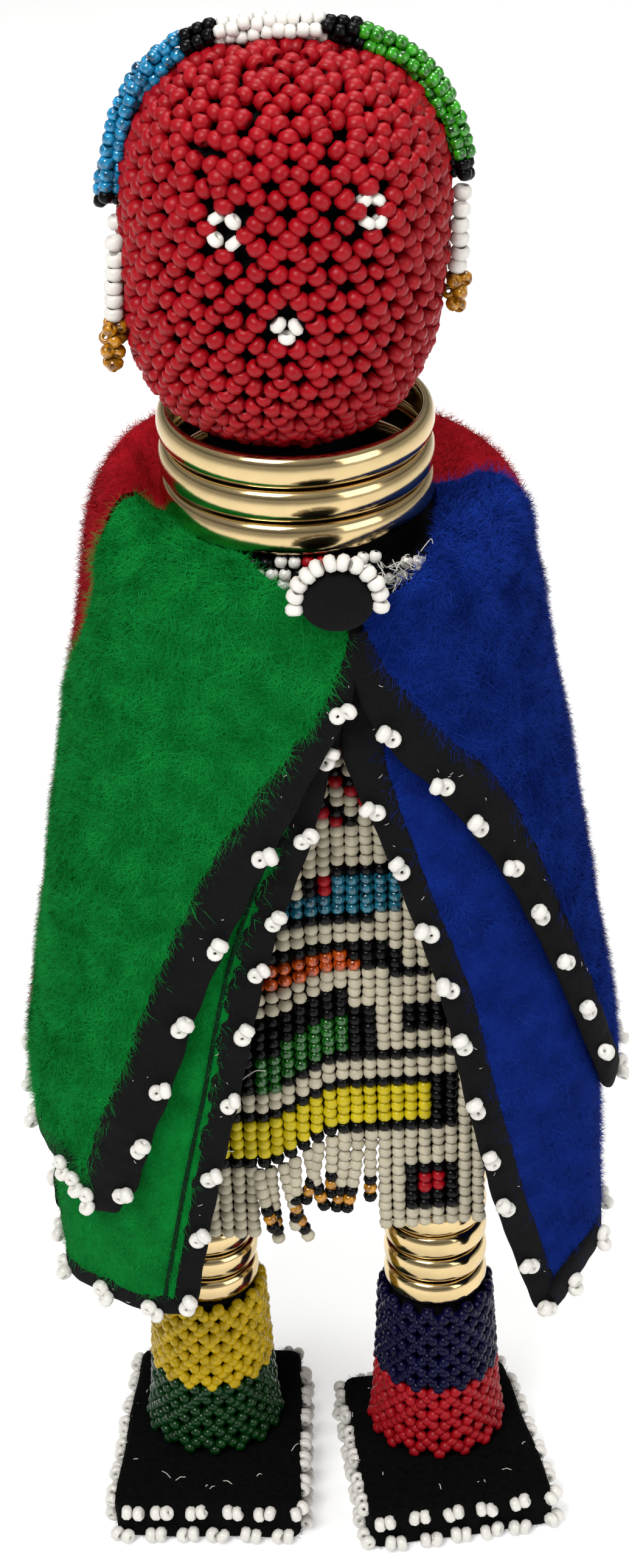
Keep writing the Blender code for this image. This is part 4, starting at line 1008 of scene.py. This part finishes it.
def left_seam(z):
    """Angle of the upper layer's left seam. It comes forward at the shoulder, so that the red shows there."""
    rise, fall = np.clip((z - 163) / 30, 0, 1), np.clip((206 - z) / 8, 0, 1)
    forward = rise * rise * (3 - 2 * rise) * fall * fall * (3 - 2 * fall)
    return SEAM - math.radians(26) * forward


def trim(line, spots):
    beads = Heap()
    bead_pairs(beads, *spots)
    bead_piece = beads.piece(line[0].name.replace("_cloth", "_beads"), [WHITE_BEAD], "white_beads")


def flap(key, colour, side, inset, nodes, length, hairs, rows=64, columns=56):
    """One front flap with its pile, binding and beads. Returns the line of its binding."""
    under = key.startswith("under")
    seam = side * (SEAM - SEAM_GAP)
    cover = 0.25 if under else 0.12
    first_edge, first_width = edge_at(key, DOME_FOOT)
    first = float(angle_at(first_edge + side * first_width * (1 - cover), DOME_FOOT))
    u = np.linspace(0, 1, columns)
    tops = np.full(columns, UNDER_TOP) if under else neckline(seam + (first - seam) * u)
    z = heights(tops, hem_at(key, 1 - u) + BINDING * 0.75, rows)
    level = np.minimum(z[:, -1], DOME_FOOT)
    edge, width = edge_at(key, level)
    front = angle_at(edge + side * width * (1 - cover), level)[:, None]
    seams = SEAM_GAP - left_seam(z[:, :1]) if key == "green" else seam
    piece, outer, out, flat = sheet(nodes[0], seams + (front - seams) * u, z, inset, colour)
    hair = pile(f"{nodes[0]}_pile", outer, out, hairs, length, colour)
    proud = 0.5 if key == "under_green" else 0
    line = edging(nodes[1], *edging_line(key, side), inset + proud, FRONT_POINTS)
    trim(line, sewn_on(line, -side, key, HEMS[key]))
    return line


def back(inset, feet, nodes, length, hairs, under=False, rows=64, columns=90):
    """The red back between the side seams, with its pile, binding and beads. Feet are its hem's heights."""
    start = SEAM + SEAM_GAP
    share, fine = np.linspace(0, 1, columns), np.linspace(0, 1, 220)
    turn = start + (math.tau - 2 * start) * share
    tops = np.full(columns, UNDER_TOP) if under else neckline(np.where(turn > math.pi, turn - math.tau, turn))
    z = heights(tops, feet[1] + (feet[0] - feet[1]) * share + BINDING * 0.75, rows)
    ends = np.full((rows, 1), math.tau - start) if under else math.tau - left_seam(z[:, -1:]) - SEAM_GAP
    piece, outer, out, flat = sheet(nodes[0], start + (ends - start) * share, z, inset, "red")
    hair = pile(f"{nodes[0]}_pile", outer, out, hairs, length, "red")
    line = edging(nodes[1], start + (math.tau - 2 * start) * fine,
                  feet[1] + (feet[0] - feet[1]) * fine + BINDING / 2, np.full(len(fine), BINDING), inset)
    trim(line, sewn_on(line, -1))


def seam_line():
    """The dark line of stitches on the green under layer, beside its binding."""
    z = np.linspace(150, 58, 16)
    edge, width = edge_at("under_green", z)
    line, _ = cape_at(angle_at(edge - width - 0.3, z), z, LAYER - 0.25)
    heap = Heap()
    thread(heap, line, 0.4)
    heap.piece("underlayer_green_seam", [SEAM_THREAD], "green_fleece")


def cape_pieces():
    """Both layers of the cape. Returns the lines of the four bindings at the front."""
    green = flap("green", "green", -1, 0, ("cape_green", "binding_green"), 3.1, 88000)
    blue = flap("blue", "blue", 1, 0, ("cape_blue", "binding_blue"), 3.1, 60000)
    back(0, (hem_at("green", 1), hem_at("blue", 1)), ("cape_red_back", "binding_back"), 3.1, 62000)
    under_green = flap("under_green", "green", -1, LAYER, ("underlayer_green", "binding_under_green"),
                       2.2, 26000)
    under_blue = flap("under_blue", "blue", 1, LAYER, ("underlayer_blue", "binding_under_blue"), 2.2, 30000)
    back(LAYER, (hem_at("under_green", 1), hem_at("under_blue", 1)),
         ("underlayer_back", "binding_under_back"), 2.2, 20000, under=True)
    seam_line()
    return green, blue, under_green, under_blue


# Button, chest and apron

BUTTON = np.array([5.6, -30.1, 198.3])


def button():
    """The cloth ball that closes the cape, gathered at its back, with the beads sewn round its upper half."""
    rows, sides = 30, 48
    turns = turns_of(sides)
    heap = Heap()
    rings = []
    for row in range(1, rows):
        polar = math.pi * row / rows
        gather = 1 + 0.035 * np.sin(11 * turns) * max(0, -math.cos(polar))
        gather = gather + 0.012 * np.sin(3 * turns + row * 0.3)
        swell = math.sin(polar) * gather
        rings.append(np.stack([5.85 * swell * np.cos(turns), np.full(sides, -4.5 * math.cos(polar)),
                               5.2 * swell * np.sin(turns)], 1))
    heap.add(np.concatenate(rings) + BUTTON, tube_faces(len(rings), sides))
    close_end(heap, rings[0] + BUTTON, BUTTON + (0, -4.5, 0), (2, 0, 1))
    close_end(heap, rings[-1] + BUTTON, BUTTON + (0, 4.5, 0), (1, 0, 2))
    ball = heap.piece("cape_button_cloth", [BLACK_CLOTH], "black_cloth", ["cape_button"])
    arc = np.radians(np.linspace(188, -8, 12))
    beads = Heap()
    at = BUTTON + np.stack([6.7 * np.cos(arc), np.full(12, -1.3), 6.9 * np.sin(arc)], 1)
    ways = np.stack([-np.sin(arc), np.zeros(12), np.cos(arc)], 1)
    at, axis = settle(at, ways, np.tile([0, 1.0, 0], (12, 1)), 0.16)
    strew(beads, EDGE_BEAD, at, axis)
    beads.piece("button_beads", [WHITE_BEAD], "white_beads", ["button_bead_strand"])


def chest_beads():
    """The strip of beads under the rings, white with black and a few red."""
    heap = Heap()
    for row, (z, y) in enumerate(((200.0, -20.6), (198.1, -21.0), (196.2, -21.2), (194.3, -21.2))):
        x = np.arange(-15.5, 19.0, 2.1) + 0.6 * (row % 2)
        at = np.stack([x, y + (x / 27.0) ** 2 * 6.0, np.full(len(x), z)], 1)
        shown = (x < (13.5, 19.5, 17.5, 13.5)[row]) & (x > (-8.5, -10.0, -13.0, -15.5)[row])
        x, at = x[shown], at[shown]
        shade = ((np.arange(len(x)) // 2 + row) % 3 == 0).astype(int)
        shade[(row == 0) & (np.abs(x - 2.0) < 2.4)] = 2
        at = at + rng.normal(0, 0.1, at.shape)
        strew(heap, CHEST_BEAD, at, np.tile([0.2, 0, 1.0], (len(x), 1)), 1.0, shade)
    heap.piece("chest_beads", [WHITE_BEAD, BLACK_BEAD, RED_BEAD], "white_beads", ["chest_bead_strip"])


def apron_front(z):
    """How far forward the apron lies at a height."""
    share = np.clip((z - 92.3) / 105, 0, 1)
    return -(13.8 + 6.2 * share) - 0.6


def band_drop(x, z):
    """How much lower the woven rows hang at the left. They are flatter near the top."""
    share = np.clip((5.0 - x) / 15.0, 0, 1)
    low = np.clip((131.0 - z) / 18.0, 0, 1)
    return (1.5 + 5.7 * low * low * (3 - 2 * low)) * share * share * (3 - 2 * share)


def apron_colour(x, z):
    """Colour of a woven bead, by its place across and its height in the unbent weave."""
    cream, black, teal, orange, leaf, yellow, red = range(7)
    if z > 150.0:
        return (cream, red, black, cream)[int(z / 2.0 + x / 2.3) % 4]
    if z > 143.2:
        return cream
    if z > 137.0 and x < 3.8:
        return cream if z > 141 else (red, cream, black)[int(x / 2.35 + 20) % 3]
    if z > 140.2:
        return black
    if z > 133.8:
        return teal if x < 14.8 else cream
    if z > 131.8:
        return black if x < 11 else cream
    if z > 127.4:
        return cream
    if z > 125.2:
        return black if x < 12 else cream
    if z > 121.2:
        return orange if x < 7.5 - (z - 122.4) * 0.8 else (black if x < 15 or x > 20 else cream)
    if z > 117.4:
        return cream if x < 12 or x > 21 or z < 119.4 else black
    if 7.0 < x < 11.6 and z > 113.2:
        return cream
    if z > 116.4:
        return black
    if z > 113.2:
        return cream if x > 7 else black
    if 10.6 < x < 15.0 and z > 103.0:
        return cream
    if x >= 15.0:
        if z > 106.9:
            return black
        if z > 103.0:
            return cream
        if z > 100.6:
            return black if x < 24.5 else cream
    if z > 100.6:
        top, foot = 108.6 + 0.3 * x, 103.0 + 0.1 * x
        return leaf if -9.5 < x < 6.8 and foot < z < top + 3.5 and z < 111.5 else black
    if z > 96.6:
        return cream
    if z > 94.9:
        return black if x < 24.5 else cream
    if z > 87.4:
        return yellow if x < 19.5 else (black if x < 24.2 else cream)
    if z > 85.6:
        return black if x < 24.2 else cream
    if 15.2 < x < 24.4 and 68.0 < z < 78.2:
        return red if 17.4 < x < 22.0 and 71.0 < z < 75.2 else black
    return cream


APRON_TOP = DOME_FOOT - 7.2
WEAVE = [CREAM_BEAD, BLACK_BEAD, TEAL_GLASS, ORANGE_GLASS, LEAF_GLASS, YELLOW_BEAD, RED_BEAD, BLACK_CLOTH]
BACKING = 7   # the place in WEAVE of the dark threads behind the beads


def apron_half(z):
    """Half the apron's width at a height. It widens downwards."""
    return 17.0 + np.minimum((APRON_TOP - z) / 65.4, 1) * 11.6


def woven(x, z, proud):
    """A place in the weave, from where it would be if its rows ran level."""
    level = z - band_drop(x, z)
    return np.stack(np.broadcast_arrays(x, apron_front(level) - proud + 1.5 * (x / 28.6) ** 2, level), -1)


def apron():
    """The woven apron bead by bead, with its two flaps, and the threads that back it."""
    pitch, row_pitch = 2.35, 1.97
    heap = Heap()
    at, colour = [], []
    for x in np.arange(-12, 13) * pitch:
        foot = 69.0 if x < -11.0 else 64.0 if x > 10.5 else 82.0 if x > 4 else 85.6
        for z in np.arange(APRON_TOP - 1, foot, -row_pitch):
            if abs(x) <= apron_half(z):
                at.append(woven(x, z, 1.15))
                colour.append(apron_colour(x, z))
    ways = np.tile([0, 0, 1.0], (len(at), 1)) + rng.normal(0, 0.05, (len(at), 3))
    at = np.array(at) + rng.normal(0, 0.07, (len(at), 3))
    strew(heap, WOVEN_BEAD, at, ways, rng.normal(1, 0.03, len(at)), np.array(colour))
    ring = np.array([(0.55, -0.3, 0), (0.55, 0.3, 0), (-0.55, 0.3, 0), (-0.55, -0.3, 0)])
    for x in np.arange(-11.5, 12) * pitch:
        foot = 69.5 if x < -11.5 else 64.5 if x > 11 else 82.5 if x > 4.5 else 86.2
        z = np.arange(APRON_TOP - 2, foot, -1.2)
        points = woven(x, z[apron_half(z) > abs(x)], 0.5)
        heap.add(points[:, None] + ring, tube_faces(len(points), 4)[:, ::-1], BACKING)
    heap.piece("apron_weave", WEAVE, "woven_beads", ["apron"])


def apron_fringe():
    """Ten strands that hang between the flaps, each with a tip in black and amber."""
    heap = Heap()
    at, ways, colour = [], [], []
    for x in np.linspace(-10.6, 9.2, 10):
        z = (82.4 if x > 4 else 86.0) - band_drop(x, 85.0)
        sway, forward = rng.uniform(-0.13, 0.13), rng.uniform(-0.05, 0.25)
        length = int(rng.integers(3, 5)) + (1 if x < 4 else 0)
        pattern = [0] * length + [1, 2, 1] + [0] * int(rng.integers(0, 2))
        place = np.array([x, apron_front(z) - 1.3, z])
        for step, shade in enumerate(pattern):
            way = unit([sway * (1 + 0.25 * step), -forward * (1 - 0.15 * step), -1.0])
            place = place + way * 1.85
            at.append(place)
            ways.append(way)
            colour.append(shade)
    strew(heap, WOVEN_BEAD, np.array(at), np.array(ways), 0.98, np.array(colour))
    heap.piece("apron_fringe_beads", [CREAM_BEAD, BLACK_BEAD, AMBER_GLASS], "woven_beads", ["apron_fringe"])


# Threads

def thread(heap, points, radius):
    """A fine round thread through a few points."""
    points = np.array(points, float)
    fine = np.linspace(0, len(points) - 1, 12 * (len(points) - 1) + 1)
    index = np.arange(len(points))
    line = np.stack([np.interp(fine, index, points[:, i]) for i in range(3)], 1)
    smooth(line, 8)
    line = line[::2]
    along = unit(np.gradient(line, axis=0))
    side = unit(np.cross(along, [0.3, 0.9, 0.2]))
    other = np.cross(along, side)
    turns = turns_of(5)
    ring = side[:, None] * np.cos(turns)[:, None] + other[:, None] * np.sin(turns)[:, None]
    heap.add(line[:, None] + radius * ring, tube_faces(len(line), 5))


def threads(bindings):
    """Frayed ends under the rings and at the apron's edge, and lint on the bindings and shoes."""
    heap = Heap()
    for _ in range(60):
        share = rng.random()
        start = np.array([21.0 - 9.0 * share, -17.5 - 4.5 * share, 200.3 - 5.0 * rng.random()])
        end = start + (rng.uniform(-3.0, 2.5), rng.uniform(-2.5, -0.8), rng.uniform(-2.0, 0.8))
        thread(heap, [start, (start + end) / 2 + rng.normal(0, 0.8, 3), end], 0.09)
    for x, z in ((-8.5, 103.0), (-14.6, 86.0)):
        start = np.array([x, -21.0, z])
        steps = ((0, 0, 0), (-1.6, -1.4, 1.2), (-3.4, -1.8, 0.2), (-4.8, -2.2, -1.0))
        thread(heap, [start + step for step in steps], 0.1)
    for _, middle, _, normal, across, half_w in bindings:
        for i in rng.integers(8, len(middle) - 4, 14):
            start = middle[i] + across[i] * half_w[i] * rng.uniform(-0.7, 0.7) + normal[i] * 1.5
            step = unit(rng.normal(0, 1, 3)) * rng.uniform(0.3, 1.0)
            step -= normal[i] * (step @ normal[i])
            thread(heap, [start, start + step * 0.5 + normal[i] * 0.12, start + step], 0.05)
    for name, centre in LEGS.items():
        for _ in range(26):
            turn = rng.uniform(0, math.tau)
            reach = np.array([math.sin(turn), -math.cos(turn)]) * (16.4, 17.0) + (0, -3.5)
            start = np.array([centre[0] + reach[0], centre[1] + reach[1], SHOE_TOP - rng.uniform(-0.1, 1.5)])
            step = np.array([*rng.normal(0, 1.1, 2), 0.0])
            thread(heap, [start, start + step * 0.5 + (0, 0, 0.5), start + step + (0, 0, 0.1)], 0.1)
    heap.piece("loose_threads", [THREAD], "white_beads")


# Carried-over solids

def dress_solids():
    """Black cotton on the solids that the scene keeps."""
    for name in ("stuffed_body", "left_leg", "right_leg"):
        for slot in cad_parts[name].material_slots:
            slot.material = BLACK_CLOTH


# Stage

def floor():
    """A plain pale floor that glows a little, so that it stays near white."""
    mesh = bpy.data.meshes.new("floor")
    reach = 3.0
    mesh.from_pydata([(-reach, -reach, 0), (reach, -reach, 0), (reach, reach, 0), (-reach, reach, 0)], [],
                     [(0, 1, 2, 3)])
    ground = bpy.data.objects.new("floor", mesh)
    pale = finish_of("pale floor", (226, 226, 226), 0.8, vary=0.01, grain=30)
    shader = pale.node_tree.nodes["Principled BSDF"]
    shader.inputs["Emission Color"].default_value = (1, 1, 1, 1)
    shader.inputs["Emission Strength"].default_value = 0.34
    mesh.materials.append(pale)
    bpy.context.scene.collection.objects.link(ground)


def studio():
    """A soft sky with a dark band for the metal to mirror, and three area lights."""
    world = bpy.data.worlds.new("soft studio")
    bpy.context.scene.world = world
    world.use_nodes = True
    nodes, links = world.node_tree.nodes, world.node_tree.links
    where = nodes.new("ShaderNodeTexCoord")
    split = nodes.new("ShaderNodeSeparateXYZ")
    links.new(where.outputs["Generated"], split.inputs["Vector"])
    ramp = nodes.new("ShaderNodeValToRGB")
    marks = ramp.color_ramp.elements
    for place in (0.16, 0.3, 0.5):
        marks.new(place)
    for mark, shade in zip(marks, (0.9, 0.8, 0.25, 0.6, 1.0)):
        mark.color = (shade, shade * 0.99, shade * 0.97, 1)
    links.new(split.outputs["Z"], ramp.inputs["Fac"])
    links.new(ramp.outputs["Color"], nodes["Background"].inputs["Color"])
    nodes["Background"].inputs["Strength"].default_value = 0.5
    for name, place, size, power, aim in (("key", (-0.35, -0.55, 1.05), 0.45, 11, 0.18),
                                          ("fill", (0.9, -0.7, 0.55), 0.7, 4, 0.14),
                                          ("top", (0.1, 0.35, 1.1), 0.6, 7, 0.18)):
        light = bpy.data.lights.new(name, "AREA")
        light.size = size
        light.energy = power
        lamp = bpy.data.objects.new(name, light)
        lamp.location = place
        lamp.rotation_euler = (Vector((0, 0, aim)) - Vector(place)).to_track_quat("-Z", "Y").to_euler()
        bpy.context.scene.collection.objects.link(lamp)


def viewpoint():
    """The camera of the photograph, with its lens told in pixels of the photograph."""
    photo_height, focal_pixels, shift_pixels = 2576, 5393, 13
    down, roll = math.radians(31.05), math.radians(-1.76)
    camera = bpy.data.cameras.new("camera")
    camera.sensor_fit = "VERTICAL"
    camera.sensor_height = 36
    camera.lens = focal_pixels / photo_height * camera.sensor_height
    camera.shift_x = shift_pixels / photo_height
    viewer = bpy.data.objects.new("camera", camera)
    tilt = Euler((math.pi / 2 - down, 0, 0)).to_matrix() @ Matrix.Rotation(roll, 3, "Z")
    viewer.rotation_euler = tilt.to_euler()
    viewer.location = (AXIS[0], AXIS[1] - 0.476, 0.4338)
    bpy.context.scene.collection.objects.link(viewer)
    bpy.context.scene.camera = viewer
    bpy.context.scene.view_settings.view_transform = "Standard"


head_net()
headband()
ear("left", -25.7, -6.0, 7, 3)
ear("right", 26.9, -3.5, 6, 2)
metal_rings()
anklets()
shoe("left", 18.2, 43.5, math.radians(-3.5))
shoe("right", 14.0, 38.5, math.radians(8.5))
bindings = cape_pieces()
button()
chest_beads()
apron()
apron_fringe()
threads(bindings)
dress_solids()
floor()
studio()
viewpoint()
